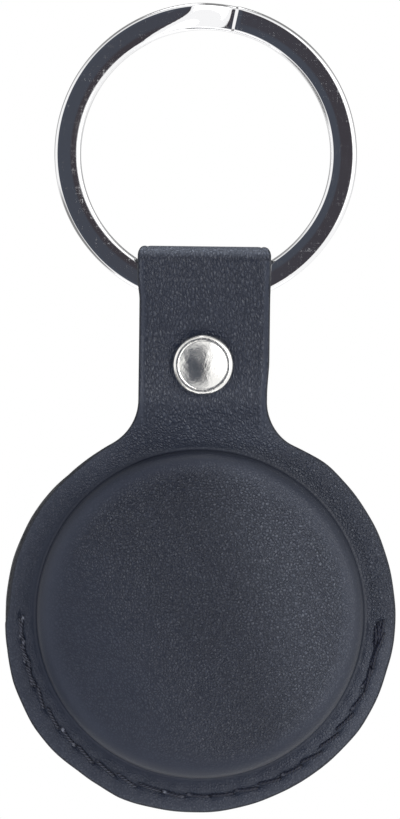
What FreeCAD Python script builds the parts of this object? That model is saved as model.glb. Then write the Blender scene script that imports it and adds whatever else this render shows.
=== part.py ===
"""Leather holder for a round tracker tag, on a split key ring.

Frame: +Z up, the ring at the top and the pouch hanging below it. The front, with the moulded dome,
faces -Y. The origin is the centre of the ring's eye, and the ring lies in the plane y = 0.
"""
import FreeCAD, Part
import math
import os
import re

import Sketcher

doc = FreeCAD.newDocument("TagHolder")
sheet = doc.addObject("Spreadsheet::Sheet", "Sizes")

SIZES = [
    ("ring_radius", 16.0, "outer radius of the split ring"),
    ("wire_width", 2.8, "radial width of the ring's flat wire"),
    ("wire_thick", 1.0, "thickness of one turn"),
    ("wire_round", 0.35, "rounding of the wire's edges"),
    ("turn_gap", 0.45, "gap between the two turns"),
    ("cut_turn", 11.0, "angle of the front turn's cut end, clockwise from the top"),
    ("step_turn", 336.0, "angle where the wire starts to step back"),
    ("step_span", 33.0, "angle that the step takes"),
    ("tail_turn", 694.0, "angle of the rear turn's cut end"),
    ("swing_drop", 13.55, "ring centre down to the loop's centre"),
    ("loop_inside", 2.8, "inside radius of the loop"),
    ("loop_lean", 11.5, "angle at which the strap leans out to the loop"),
    ("loop_bend", 3.0, "bend radius where the strap starts to lean"),
    ("crown_bend", 1.45, "outside radius of the crease at the front of the fold"),
    ("tail_lean", 55.0, "angle at which the strap's end comes forward under the ring"),
    ("tail_bend", 1.6, "bend radius where the end lies against the strap"),
    ("tail_thick", 0.5, "thickness of the pared end"),
    ("leather", 0.95, "leather thickness"),
    ("lining", 0.3, "lining thickness"),
    ("glue", 0.05, "glue line"),
    ("strap_half", 6.95, "half the strap's width"),
    ("snap_drop", 22.33, "ring centre down to the snap's centre"),
    ("snap_front", 2.7, "ring plane forward to the strap's face at the snap"),
    ("snap_room", 1.45, "room between strap and tab for the closed snap"),
    ("cap_radius", 3.23, "radius of the snap's cap"),
    ("cap_rise", 1.15, "height of the cap"),
    ("cap_rim", 0.4, "height of the cap's rim"),
    ("barrel_radius", 1.2, "radius of the cap's barrel"),
    ("socket_radius", 2.9, "outer radius of the socket"),
    ("socket_bore", 2.35, "radius of the socket's chamber"),
    ("socket_mouth", 1.75, "radius of the socket's mouth"),
    ("socket_plate", 0.25, "thickness of the socket's plate"),
    ("socket_lip", 0.15, "thickness of the lip round the mouth"),
    ("stud_radius", 2.7, "radius of the stud's foot"),
    ("stud_foot", 0.3, "thickness of the stud's foot"),
    ("stud_neck", 1.25, "radius of the stud's neck"),
    ("stud_bulb", 1.5, "radius of the stud's bulb"),
    ("stud_reach", 0.82, "length of the stud from its foot"),
    ("spring_wire", 0.14, "radius of the spring's wire"),
    ("spring_radius", 1.72, "radius of the spring ring"),
    ("post_radius", 3.05, "radius of the post's head"),
    ("post_rise", 0.75, "height of the post's head"),
    ("post_barrel", 0.95, "radius of the post's barrel"),
    ("neck_lean", 20.0, "angle of the neck between rim and strap"),
    ("neck_bend", 1.6, "inside radius of the neck's two bends"),
    ("flare_radius", 5.3, "radius of the hollow curve from strap to disc"),
    ("disc_drop", 48.95, "ring centre down to the disc's centre"),
    ("disc_radius", 20.6, "radius of the disc"),
    ("dome_drop", 48.65, "ring centre down to the dome's centre"),
    ("dome_radius", 17.3, "radius of the dome at its foot"),
    ("dome_shoulder", 1.8, "radius of the dome's shoulder"),
    ("dome_crown", 48.0, "radius of the dome's top"),
    ("dome_foot", 0.4, "radius of the crease at the dome's foot"),
    ("tag_room", 8.15, "depth of the pocket"),
    ("rim_gap", 0.1, "gap between the two rims"),
    ("bend_rise", 1.0, "disc centre up to the back's bend line"),
    ("bend_gap", 0.04, "gap at the bend line"),
    ("tab_rise", 4.0, "snap centre up to the tab's end"),
    ("tab_corner", 3.6, "corner radius of the tab's end"),
    ("seam_radius", 18.9, "radius of the seam"),
    ("groove_radius", 0.55, "radius of the seam's groove"),
    ("thread_radius", 0.2, "radius of the thread"),
    ("thread_draw", 0.05, "how much thinner the thread is drawn in its holes"),
    ("hole_radius", 0.25, "radius of a stitch hole"),
]
STITCH_HOLES = 24

# Degrees by which the seam's grooves and threads run past the first and the last hole.
GROOVE_PAST = 1.5
THREAD_PAST = 0.8

for row, (alias, value, note) in enumerate(SIZES, start=1):
    sheet.set(f"A{row}", note)
    sheet.set(f"B{row}", str(value))
    sheet.setAlias(f"B{row}", alias)
doc.recompute()

# Places that follow from the sizes. Y places are signed, with the front at -Y.
PLACES = [
    ("loop_z", "-Sizes.swing_drop"),
    ("loop_outside", "Sizes.loop_inside + Sizes.leather"),
    ("snap_z", "-Sizes.snap_drop"),
    ("disc_z", "-Sizes.disc_drop"),
    ("dome_z", "-Sizes.dome_drop"),
    ("strap_y", "-Sizes.snap_front"),
    ("tail_y", "Derived.strap_y + Sizes.leather + Sizes.glue"),
    ("tail_back", "Derived.tail_y + Sizes.tail_thick"),
    ("flap_y", "Derived.tail_back + Sizes.snap_room"),
    ("back_y", "Derived.flap_y + Sizes.lining + Sizes.glue"),
    ("back_face", "Derived.back_y + Sizes.leather"),
    ("rim_lining", "Derived.flap_y - Sizes.rim_gap - Sizes.lining"),
    ("rim_y", "Derived.rim_lining - Sizes.glue - Sizes.leather"),
    ("top_y", "Derived.flap_y - Sizes.tag_room - Sizes.lining - Sizes.glue - Sizes.leather"),
    ("bend_z", "Derived.disc_z + Sizes.bend_rise"),
    ("tab_z", "Derived.snap_z + Sizes.tab_rise"),
    ("neck_out", "Sizes.neck_bend + Sizes.leather"),
    ("neck_top", "Derived.snap_z - Sizes.cap_radius - 0.1"),
    ("neck_run", "(Derived.rim_y - Derived.strap_y - (Sizes.neck_bend + Derived.neck_out)"
                 " * (1 - cos(Sizes.neck_lean * 1 deg))) / sin(Sizes.neck_lean * 1 deg)"),
    ("neck_low", "Derived.neck_top - (Sizes.neck_bend + Derived.neck_out) * sin(Sizes.neck_lean * 1 deg)"
                 " - Derived.neck_run * cos(Sizes.neck_lean * 1 deg)"),
    ("lean_run", "(Derived.loop_outside * cos(Sizes.loop_lean * 1 deg) + Derived.strap_y - Sizes.loop_bend"
                 " * (1 - cos(Sizes.loop_lean * 1 deg))) / sin(Sizes.loop_lean * 1 deg)"),
    ("lean_z", "Derived.loop_z - (Derived.loop_outside + Sizes.loop_bend) * sin(Sizes.loop_lean * 1 deg)"
               " - Derived.lean_run * cos(Sizes.loop_lean * 1 deg)"),
    ("tail_run", "(Sizes.loop_inside * cos(Sizes.tail_lean * 1 deg) - Derived.tail_y - Sizes.tail_bend"
                 " * (1 - cos(Sizes.tail_lean * 1 deg))) / sin(Sizes.tail_lean * 1 deg)"),
    ("tail_z", "Derived.loop_z - (Sizes.loop_inside + Sizes.tail_bend) * sin(Sizes.tail_lean * 1 deg)"
               " - Derived.tail_run * cos(Sizes.tail_lean * 1 deg)"),
    ("tail_axis", "Derived.tail_y + Sizes.tail_bend"),
    ("tail_inner", "Sizes.tail_bend - Sizes.tail_thick"),
    ("tail_end", "Derived.neck_top + 0.05"),
    ("low_z", "Derived.disc_z - Sizes.disc_radius - 1"),
    ("flare_x", "Sizes.strap_half + Sizes.flare_radius"),
    ("flare_rise", "sqrt((Sizes.disc_radius + Sizes.flare_radius)^2 - Derived.flare_x^2)"),
    ("meet_x", "Derived.flare_x * Sizes.disc_radius / (Sizes.disc_radius + Sizes.flare_radius)"),
    ("meet_z", "Derived.disc_z + Derived.flare_rise * Sizes.disc_radius"
               " / (Sizes.disc_radius + Sizes.flare_radius)"),
    ("flare_z", "Derived.disc_z + Derived.flare_rise"),
    ("over_z", "Derived.loop_z + Derived.loop_outside + 1"),
]
derived = doc.addObject("App::VarSet", "Derived")
in_sizes = {}
for name, rule in PLACES:
    # Each place is written out in sizes alone, so that one recompute settles them all.
    in_sizes[name] = re.sub(r"Derived\.(\w+)", lambda place: f"({in_sizes[place.group(1)]})", rule)
    derived.addProperty("App::PropertyFloat", name)
    derived.setExpression(name, in_sizes[name])
doc.recompute()


def size(rule):
    """The number that a rule gives with the sizes as they are."""
    value = sheet.evalExpression(rule)
    return float(getattr(value, "Value", value))


X_AXIS = FreeCAD.Vector(1, 0, 0)
Y_AXIS = FreeCAD.Vector(0, 1, 0)
Z_AXIS = FreeCAD.Vector(0, 0, 1)
SIDE = FreeCAD.Rotation(Y_AXIS, Z_AXIS, X_AXIS)
FRONT = FreeCAD.Rotation(X_AXIS, Z_AXIS, Y_AXIS * -1)
FACING_Y = FreeCAD.Rotation(X_AXIS, -90)
# A stitch's rods are turned on their own axis, so that the line where their surface closes is off the seam.
STITCH_TURN = FACING_Y.multiply(FreeCAD.Rotation(Z_AXIS, 45))


def arc_centre(start, end, radius, turn, long_way):
    """Centre of the arc from start to end, turning left (1) or right (-1)."""
    mid_x, mid_y = (start[0] + end[0]) / 2, (start[1] + end[1]) / 2
    dx, dy = end[0] - start[0], end[1] - start[1]
    span = math.hypot(dx, dy)
    rise = math.sqrt(max(radius * radius - span * span / 4, 0.0))
    side = -turn if long_way else turn
    return mid_x - side * rise * dy / span, mid_y + side * rise * dx / span


def profile(sketch, corners):
    """Closed outline. Each corner is (across, up) rules, then for an arc its radius rule and turn."""
    points = [(size(c[0]), size(c[1])) for c in corners]
    ends = []
    for i, corner in enumerate(corners):
        start, end = points[i], points[(i + 1) % len(points)]
        if len(corner) == 2:
            line = Part.LineSegment(FreeCAD.Vector(*start, 0), FreeCAD.Vector(*end, 0))
            sketch.addGeometry(line)
            ends.append((1, 2))
            continue
        radius, turn = size(corner[2]), corner[3]
        long_way = len(corner) > 4
        cx, cy = arc_centre(start, end, radius, turn, long_way)
        first, last = (start, end) if turn > 0 else (end, start)
        from_angle = math.atan2(first[1] - cy, first[0] - cx)
        to_angle = math.atan2(last[1] - cy, last[0] - cx)
        if to_angle < from_angle:
            to_angle += 2 * math.pi
        circle = Part.Circle(FreeCAD.Vector(cx, cy, 0), Z_AXIS, radius)
        sketch.addGeometry(Part.ArcOfCircle(circle, from_angle, to_angle))
        ends.append((1, 2) if turn > 0 else (2, 1))
    for i, corner in enumerate(corners):
        after = (i + 1) % len(corners)
        sketch.addConstraint(Sketcher.Constraint("Coincident", i, ends[i][1], after, ends[after][0]))
    for i, corner in enumerate(corners):
        for way in (0, 1):
            kind, label = ("DistanceX", "DistanceY")[way], f"{'xy'[way]}_{i}"
            mark = sketch.addConstraint(Sketcher.Constraint(kind, -1, 1, i, ends[i][0], points[i][way]))
            sketch.renameConstraint(mark, label)
            sketch.setExpression(f"Constraints.{label}", corner[way])
        if len(corner) > 2:
            mark = sketch.addConstraint(Sketcher.Constraint("Radius", i, size(corner[2])))
            sketch.renameConstraint(mark, f"bend_{i}")
            sketch.setExpression(f"Constraints.bend_{i}", corner[2])


def flat_outline(name, turn, corners, up="0"):
    """A loose sketch in the side plane or the front plane, lifted to the height that a rule gives."""
    sketch = doc.addObject("Sketcher::SketchObject", name)
    sketch.Placement = FreeCAD.Placement(FreeCAD.Vector(0, 0, size(up)), turn)
    if up != "0":
        sketch.setExpression("Placement.Base.z", up)
    profile(sketch, corners)
    return sketch


def sheet_of(name, sketch, direction, ahead, behind="0"):
    """A sketch made into a solid along a direction."""
    slab = doc.addObject("Part::Extrusion", name)
    slab.Base = sketch
    slab.DirMode = "Custom"
    slab.Dir = direction
    slab.Solid = True
    slab.setExpression("LengthFwd", ahead)
    slab.setExpression("LengthRev", behind)
    return slab


def spun(name, sketch, up):
    """A sketch turned once round the line along Y at the height that a rule gives."""
    solid = doc.addObject("Part::Revolution", name)
    solid.Source = sketch
    solid.Axis = Y_AXIS
    solid.Base = FreeCAD.Vector(0, 0, size(up))
    solid.setExpression("Base.z", up)
    solid.Angle = 360
    solid.Solid = True
    return solid


def joined(kind, name, first, second):
    """Part::Cut, Part::Fuse or Part::Common of two objects."""
    result = doc.addObject(kind, name)
    result.Base = first
    result.Tool = second
    result.Refine = True
    return result


def rod(name, radius, start, length, across="0", up="0", turn=FACING_Y):
    """A cylinder along +Y."""
    cylinder = doc.addObject("Part::Cylinder", name)
    cylinder.setExpression("Radius", radius)
    cylinder.setExpression("Height", length)
    cylinder.Placement = FreeCAD.Placement(FreeCAD.Vector(size(across), size(start), size(up)), turn)
    cylinder.setExpression("Placement.Base.x", across)
    cylinder.setExpression("Placement.Base.y", start)
    cylinder.setExpression("Placement.Base.z", up)
    return cylinder


def seam_ring(name, radius, place, past):
    """A round section carried along the seam, from past its left end round the bottom to past its right end."""
    ring = doc.addObject("Part::Torus", name)
    ring.setExpression("Radius1", "Sizes.seam_radius")
    ring.setExpression("Radius2", radius)
    ring.Angle3 = 180 + 2 * past
    turn = FreeCAD.Rotation(X_AXIS, 90).multiply(FreeCAD.Rotation(Z_AXIS, 180 - past))
    ring.Placement = FreeCAD.Placement(FreeCAD.Vector(0, size(place), size("Derived.disc_z")), turn)
    ring.setExpression("Placement.Base.y", place)
    ring.setExpression("Placement.Base.z", "Derived.disc_z")
    return ring


def stitch_rods(name, radius, start, length):
    """Short rods along Y, one at each stitch hole."""
    rods = []
    for i in range(STITCH_HOLES):
        angle = 180.0 + 180.0 * i / (STITCH_HOLES - 1)
        across = f"Sizes.seam_radius * cos({angle:.4f} deg)"
        up = f"Derived.disc_z + Sizes.seam_radius * sin({angle:.4f} deg)"
        rods.append(rod(f"{name}_{i}", radius, start, length, across, up, STITCH_TURN))
    group = doc.addObject("Part::MultiFuse", name)
    group.Shapes = rods
    return group


def slab_above(name, up, high):
    """A wide box that reaches from one height to another."""
    box = doc.addObject("Part::Box", name)
    box.Length = 60
    box.Width = 40
    box.setExpression("Height", f"{high} - ({up})")
    box.Placement.Base = FreeCAD.Vector(-30, -20, size(up))
    box.setExpression("Placement.Base.z", up)
    return box


# Split ring: flat wire with rounded edges, front turn, step to the rear layer, rear turn.
def wire_section(angle, layer):
    """The wire's section at an angle clockwise from the top, at a place along Y."""
    outer, width = size("Sizes.ring_radius"), size("Sizes.wire_width")
    half, edge = size("Sizes.wire_thick") / 2, size("Sizes.wire_round")
    turn = math.radians(angle)
    out = FreeCAD.Vector(math.sin(turn), 0, math.cos(turn))

    def at(radial, along):
        return out * radial + Y_AXIS * (layer + along)

    inner = outer - width
    corners = [(inner, -half, 1, 1), (outer, -half, -1, 1), (outer, half, -1, -1), (inner, half, 1, -1)]
    edges, previous = [], None
    bow = edge * (1 - math.sqrt(0.5))
    for number, (radial, along, to_radial, to_along) in enumerate(corners):
        toward = at(radial + to_radial * edge, along)
        beside = at(radial, along + to_along * edge)
        middle = at(radial + to_radial * bow, along + to_along * bow)
        first, last = (beside, toward) if number % 2 == 0 else (toward, beside)
        if previous is not None:
            edges.append(Part.LineSegment(previous, first).toShape())
        else:
            opening = first
        edges.append(Part.Arc(first, middle, last).toShape())
        previous = last
    edges.append(Part.LineSegment(previous, opening).toShape())
    return Part.Wire(edges)


def ring_layer(angle):
    """Place along Y of the wire's middle: front layer, an eased step, then rear layer."""
    apart = size("Sizes.wire_thick") + size("Sizes.turn_gap")
    along = (angle - size("Sizes.step_turn")) / size("Sizes.step_span")
    along = min(max(along, 0.0), 1.0)
    return apart * (along * along * (3 - 2 * along) - 0.5)


def ring_gap():
    """Least distance between points of the two turns' facing surfaces."""
    outer, width = size("Sizes.ring_radius"), size("Sizes.wire_width")
    half = size("Sizes.wire_thick") / 2
    first, last = size("Sizes.cut_turn"), size("Sizes.tail_turn")
    steps = int((last - first) / 1.5)
    points = []
    for i in range(steps + 1):
        angle = first + (last - first) * i / steps
        turn, layer = math.radians(angle), ring_layer(angle)
        for part in range(5):
            radial = outer - width * part / 4
            for along in (-half, half):
                points.append((angle, radial * math.sin(turn), layer + along, radial * math.cos(turn)))
    least = 1e9
    for i, one in enumerate(points):
        for other in points[i + 1:]:
            if other[0] - one[0] > 180:
                least = min(least, math.dist(one[1:], other[1:]))
    return least


step_from = size("Sizes.step_turn")
step_to = step_from + size("Sizes.step_span")
front_turn = Part.Face(wire_section(size("Sizes.cut_turn"), ring_layer(0)))
front_turn = front_turn.revolve(FreeCAD.Vector(0, 0, 0), Y_AXIS, step_from - size("Sizes.cut_turn"))
rear_turn = Part.Face(wire_section(step_to, ring_layer(step_to)))
rear_turn = rear_turn.revolve(FreeCAD.Vector(0, 0, 0), Y_AXIS, size("Sizes.tail_turn") - step_to)
stations = [step_from + (step_to - step_from) * i / 10 for i in range(11)]
step = Part.makeLoft([wire_section(angle, ring_layer(angle)) for angle in stations], True, False)
split_ring = doc.addObject("Part::Feature", "split_ring")
split_ring.Shape = front_turn.multiFuse([step, rear_turn]).removeSplitter()
split_ring.Placement = FreeCAD.Placement()
print("split ring: least gap to itself", round(ring_gap(), 3), "mm")

# Front leather seen from the side: rim, neck, strap, loop over the ring, and the pared end behind the strap.
LEAN, NECK, TAIL = "Sizes.loop_lean * 1 deg", "Sizes.neck_lean * 1 deg", "Sizes.tail_lean * 1 deg"
side_corners = [
    ("Derived.rim_y", "Derived.low_z"),
    ("Derived.rim_y", "Derived.neck_low", "Sizes.neck_bend", 1),
    (f"Derived.rim_y - Sizes.neck_bend * (1 - cos({NECK}))",
     f"Derived.neck_low + Sizes.neck_bend * sin({NECK})"),
    (f"Derived.strap_y + Derived.neck_out * (1 - cos({NECK}))",
     f"Derived.neck_top - Derived.neck_out * sin({NECK})", "Derived.neck_out", -1),
    ("Derived.strap_y", "Derived.neck_top"),
    ("Derived.strap_y", "Derived.lean_z", "Sizes.loop_bend", 1),
    (f"Derived.strap_y - Sizes.loop_bend * (1 - cos({LEAN}))",
     f"Derived.lean_z + Sizes.loop_bend * sin({LEAN})"),
    (f"-Derived.loop_outside * cos({LEAN})", f"Derived.loop_z - Derived.loop_outside * sin({LEAN})",
     "Derived.loop_outside", -1),
    ("-Derived.loop_outside", "Derived.loop_z"),
    ("-Derived.loop_outside", "Derived.loop_z + Derived.loop_outside - Sizes.crown_bend",
     "Sizes.crown_bend", -1),
    ("Sizes.crown_bend - Derived.loop_outside", "Derived.loop_z + Derived.loop_outside"),
    ("0", "Derived.loop_z + Derived.loop_outside", "Derived.loop_outside", -1),
    (f"Derived.loop_outside * cos({TAIL})", f"Derived.loop_z - Derived.loop_outside * sin({TAIL})"),
    (f"Derived.tail_axis - Derived.tail_inner * cos({TAIL})",
     f"Derived.tail_z + Derived.tail_inner * sin({TAIL})", "Derived.tail_inner", 1),
    ("Derived.tail_back", "Derived.tail_z"),
    ("Derived.tail_back", "Derived.tail_end"),
    ("Derived.tail_y", "Derived.tail_end"),
    ("Derived.tail_y", "Derived.tail_z", "Sizes.tail_bend", -1),
    (f"Derived.tail_axis - Sizes.tail_bend * cos({TAIL})", f"Derived.tail_z + Sizes.tail_bend * sin({TAIL})"),
    (f"Sizes.loop_inside * cos({TAIL})", f"Derived.loop_z - Sizes.loop_inside * sin({TAIL})",
     "Sizes.loop_inside", 1),
    ("0", "Derived.loop_z + Sizes.loop_inside"),
    ("Sizes.crown_bend - Derived.loop_outside", "Derived.loop_z + Sizes.loop_inside",
     "Sizes.crown_bend - Sizes.leather", 1),
    ("-Sizes.loop_inside", "Derived.loop_z + Derived.loop_outside - Sizes.crown_bend"),
    ("-Sizes.loop_inside", "Derived.loop_z", "Sizes.loop_inside", 1),
    (f"-Sizes.loop_inside * cos({LEAN})", f"Derived.loop_z - Sizes.loop_inside * sin({LEAN})"),
    (f"Derived.strap_y - Sizes.loop_bend + (Sizes.loop_bend + Sizes.leather) * cos({LEAN})",
     f"Derived.lean_z + (Sizes.loop_bend + Sizes.leather) * sin({LEAN})",
     "Sizes.loop_bend + Sizes.leather", -1),
    ("Derived.strap_y + Sizes.leather", "Derived.lean_z"),
    ("Derived.strap_y + Sizes.leather", "Derived.neck_top", "Sizes.neck_bend", 1),
    (f"Derived.strap_y + Derived.neck_out - Sizes.neck_bend * cos({NECK})",
     f"Derived.neck_top - Sizes.neck_bend * sin({NECK})"),
    (f"Derived.rim_y - Sizes.neck_bend + Derived.neck_out * cos({NECK})",
     f"Derived.neck_low + Derived.neck_out * sin({NECK})", "Derived.neck_out", -1),
    ("Derived.rim_y + Sizes.leather", "Derived.neck_low"),
    ("Derived.rim_y + Sizes.leather", "Derived.low_z"),
]
front_side = flat_outline("front_side", SIDE, side_corners)
front_strip = sheet_of("front_strip", front_side, X_AXIS, "Sizes.disc_radius + 1", "Sizes.disc_radius + 1")


def cut_corners(top, corner):
    """Outline of a leather cut from the front: disc, hollow curves, strap, and the strap's end."""
    rules = [
        ("-Derived.meet_x", "Derived.meet_z", "Sizes.disc_radius", 1, "long"),
        ("Derived.meet_x", "Derived.meet_z", "Sizes.flare_radius", -1),
        ("Sizes.strap_half", "Derived.flare_z"),
    ]
    if corner is None:
        rules += [("Sizes.strap_half", top), ("-Sizes.strap_half", top)]
    else:
        rules += [
            ("Sizes.strap_half", f"{top} - {corner}", corner, 1),
            (f"Sizes.strap_half - {corner}", top),
            (f"{corner} - Sizes.strap_half", top, corner, 1),
            ("-Sizes.strap_half", f"{top} - {corner}"),
        ]
    rules.append(("-Sizes.strap_half", "Derived.flare_z", "Sizes.flare_radius", -1))
    return rules


front_cut = flat_outline("front_cut", FRONT, cut_corners("Derived.over_z", None))
front_trim = sheet_of("front_trim", front_cut, Y_AXIS, "12", "12")
front_blank = joined("Part::Common", "front_blank", front_strip, front_trim)

# Moulded dome: foot crease, flank, shoulder and gently crowned top, all one leather thick.
CROWN_AT = "Derived.top_y + Sizes.dome_crown"
SHOULDER_IN = "(Sizes.dome_radius - Sizes.dome_shoulder)"
CROWN_LEG = f"sqrt((Sizes.dome_crown - Sizes.dome_shoulder)^2 - {SHOULDER_IN}^2)"
SHOULDER_AT = f"({CROWN_AT} - {CROWN_LEG})"


def crown_point(radius):
    """Where the top of the given radius meets the shoulder."""
    share = f"({radius}) / (Sizes.dome_crown - Sizes.dome_shoulder)"
    return f"{CROWN_AT} - {CROWN_LEG} * {share}", f"{SHOULDER_IN} * {share}"


def dome_wall(outside, inside, foot_from, foot_to, foot_radius):
    """Wall of the dome between two depths under its outer face, with its foot in the rim."""
    outer, inner = f"(Sizes.dome_crown - {outside})", f"(Sizes.dome_crown - {inside})"
    return [
        (f"Derived.top_y + {outside}", "0", outer, -1),
        (*crown_point(outer), f"Sizes.dome_shoulder - {outside}", -1),
        (SHOULDER_AT, f"Sizes.dome_radius - {outside}"),
        *foot_from,
        (foot_to, foot_radius),
        (foot_to, f"Sizes.dome_radius - {inside}"),
        (SHOULDER_AT, f"Sizes.dome_radius - {inside}", f"Sizes.dome_shoulder - {inside}", 1),
        (*crown_point(inner), inner, 1),
        (f"Derived.top_y + {inside}", "0"),
    ]


OPENING = "Sizes.dome_radius + Sizes.dome_foot"
leather_foot = [
    ("Derived.rim_y - Sizes.dome_foot", "Sizes.dome_radius", "Sizes.dome_foot", 1),
    ("Derived.rim_y", OPENING),
]
dome_side = flat_outline(
    "dome_side", SIDE,
    dome_wall("0", "Sizes.leather", leather_foot, "Derived.rim_y + Sizes.leather", OPENING),
    "Derived.dome_z",
)
dome = spun("dome", dome_side, "Derived.dome_z")
dome_hole = rod("dome_hole", OPENING, "Derived.rim_y - 0.5", "Sizes.leather + 1", "0", "Derived.dome_z")
front_ring = joined("Part::Cut", "front_ring", front_blank, dome_hole)
front_moulded = joined("Part::Fuse", "front_moulded", front_ring, dome)

# Holes and the seam's grooves. The thread stands a little proud in front and lies flush at the back.
front_groove = seam_ring("front_groove", "Sizes.groove_radius", "Derived.rim_y - 0.25", GROOVE_PAST)
back_groove = seam_ring("back_groove", "Sizes.groove_radius", "Derived.back_face + 0.11", GROOVE_PAST)
stitch_holes = stitch_rods("stitch_holes", "Sizes.hole_radius", "Derived.rim_y - 1", "6")
snap_hole = rod("snap_hole", "Sizes.barrel_radius + 0.03", "Derived.strap_y - 1",
                "Derived.tail_back - Derived.strap_y + 1.4", "0", "Derived.snap_z")
front_pierced = joined("Part::Cut", "front_pierced", front_moulded, snap_hole)
front_grooved = joined("Part::Cut", "front_grooved", front_pierced, front_groove)
front_panel = joined("Part::Cut", "front_panel", front_grooved, stitch_holes)

# Lining of the moulded pocket, glued in, cut off straight where the neck begins.
UNDER = "(Sizes.leather + Sizes.glue)"
lining_foot = [
    ("Derived.rim_lining", f"Sizes.dome_radius - {UNDER}"),
    ("Derived.rim_lining", "Sizes.disc_radius - 0.4"),
]
lining_side = flat_outline(
    "lining_side", SIDE,
    dome_wall(UNDER, f"({UNDER} + Sizes.lining)", lining_foot, "Derived.rim_lining + Sizes.lining",
              "Sizes.disc_radius - 0.4"),
    "Derived.dome_z",
)
lining_full = spun("lining_full", lining_side, "Derived.dome_z")
lining_top = slab_above("lining_top", "Derived.neck_low - 0.05", "Derived.over_z")
lining_cut = joined("Part::Cut", "lining_cut", lining_full, lining_top)
front_lining = joined("Part::Cut", "front_lining", lining_cut, stitch_holes)

# Back leather and its lining, each parted at the bend line into the sewn half and the flap.
back_cut = flat_outline("back_cut", FRONT, cut_corners("Derived.tab_z", "Sizes.tab_corner"))
back_leather = sheet_of("back_leather", back_cut, Y_AXIS, "Derived.back_face", "-Derived.back_y")
back_cloth = sheet_of("back_cloth", back_cut, Y_AXIS, "Derived.flap_y + Sizes.lining", "-Derived.flap_y")
above_bend = slab_above("above_bend", "Derived.bend_z + Sizes.bend_gap / 2", "Derived.over_z")
over_bend = slab_above("over_bend", "Derived.bend_z - Sizes.bend_gap / 2", "Derived.over_z")
tab_hole = rod("tab_hole", "Sizes.post_barrel + 0.03", "Derived.flap_y - 1", "4", "0", "Derived.snap_z")
flap_leather = joined("Part::Common", "flap_leather", back_leather, above_bend)
back_flap = joined("Part::Cut", "back_flap", flap_leather, tab_hole)
flap_cloth = joined("Part::Common", "flap_cloth", back_cloth, above_bend)
flap_lining = joined("Part::Cut", "flap_lining", flap_cloth, tab_hole)
sewn_leather = joined("Part::Cut", "sewn_leather", back_leather, over_bend)
sewn_grooved = joined("Part::Cut", "sewn_grooved", sewn_leather, back_groove)
back_panel = joined("Part::Cut", "back_panel", sewn_grooved, stitch_holes)
sewn_cloth = joined("Part::Cut", "sewn_cloth", back_cloth, over_bend)
back_lining = joined("Part::Cut", "back_lining", sewn_cloth, stitch_holes)

# The seam's two threads: a run in the groove, and a leg down each hole to the middle of the layers.
LEG = "Sizes.thread_radius - Sizes.thread_draw"
needle_run = seam_ring("needle_run", "Sizes.thread_radius", "Derived.rim_y + 0.08", THREAD_PAST)
needle_legs = stitch_rods("needle_legs", LEG, "Derived.rim_y + 0.02",
                          "Derived.rim_lining + Sizes.lining - Derived.rim_y - 0.04")
needle_thread = joined("Part::Fuse", "needle_thread", needle_run, needle_legs)
bobbin_run = seam_ring("bobbin_run", "Sizes.thread_radius", "Derived.back_face - 0.22", THREAD_PAST)
bobbin_legs = stitch_rods("bobbin_legs", LEG, "Derived.flap_y + 0.02",
                          "Derived.back_face - 0.18 - Derived.flap_y")
bobbin_thread = joined("Part::Fuse", "bobbin_thread", bobbin_run, bobbin_legs)


# Snap fastener: each piece is turned round the snap's axis, which runs along Y.
def turned_piece(name, corners):
    """A body made by turning a half section; across is the place along Y, up is the radius."""
    body = doc.addObject("PartDesign::Body", name)
    sketch = body.newObject("Sketcher::SketchObject", f"{name}_section")
    plane = next(f for f in body.Origin.OriginFeatures if f.Role == "YZ_Plane")
    sketch.AttachmentSupport = [(plane, "")]
    sketch.MapMode = "FlatFace"
    profile(sketch, corners)
    turning = body.newObject("PartDesign::Revolution", f"{name}_turning")
    turning.Profile = sketch
    turning.ReferenceAxis = (sketch, ["H_Axis"])
    turning.Angle = 360
    body.Tip = turning
    body.Placement.Base = FreeCAD.Vector(0, 0, size("Derived.snap_z"))
    body.setExpression("Placement.Base.z", "Derived.snap_z")
    return body


CAP_TOP = "Derived.strap_y - Sizes.cap_rise"
CAP_CROWN = "(Sizes.cap_rise - Sizes.cap_rim)"
CAP_BOW = f"((Sizes.cap_radius - 0.35)^2 + {CAP_CROWN}^2) / 2 / {CAP_CROWN}"
BARREL_END = "Derived.tail_back + Sizes.socket_plate"
snap_cap = turned_piece("snap_cap", [
    (CAP_TOP, "0"),
    (BARREL_END, "0"),
    (BARREL_END, "Sizes.barrel_radius"),
    ("Derived.strap_y", "Sizes.barrel_radius"),
    ("Derived.strap_y", "Sizes.cap_radius - 0.1"),
    ("Derived.strap_y - 0.1", "Sizes.cap_radius"),
    ("Derived.strap_y - Sizes.cap_rim + 0.1", "Sizes.cap_radius", "0.2", 1),
    ("Derived.strap_y - Sizes.cap_rim - 0.1", "Sizes.cap_radius - 0.2"),
    ("Derived.strap_y - Sizes.cap_rim", "Sizes.cap_radius - 0.35", CAP_BOW, 1),
])
SOCKET_END = "Derived.flap_y - Sizes.stud_foot - 0.1"
snap_socket = turned_piece("snap_socket", [
    ("Derived.tail_back", "Sizes.barrel_radius + 0.02"),
    (BARREL_END, "Sizes.barrel_radius + 0.02"),
    (BARREL_END, "Sizes.socket_bore"),
    (f"{SOCKET_END} - Sizes.socket_lip", "Sizes.socket_bore"),
    (f"{SOCKET_END} - Sizes.socket_lip", "Sizes.socket_mouth"),
    (SOCKET_END, "Sizes.socket_mouth"),
    (SOCKET_END, "Sizes.socket_radius - 0.35"),
    (f"{SOCKET_END} - 0.35", "Sizes.socket_radius - 0.15"),
    ("Derived.tail_back + 0.2", "Sizes.socket_radius"),
    ("Derived.tail_back", "Sizes.socket_radius"),
])
STUD_FACE = "Derived.flap_y - Sizes.stud_foot"
STUD_BORE = "Sizes.post_barrel + 0.02"
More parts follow.
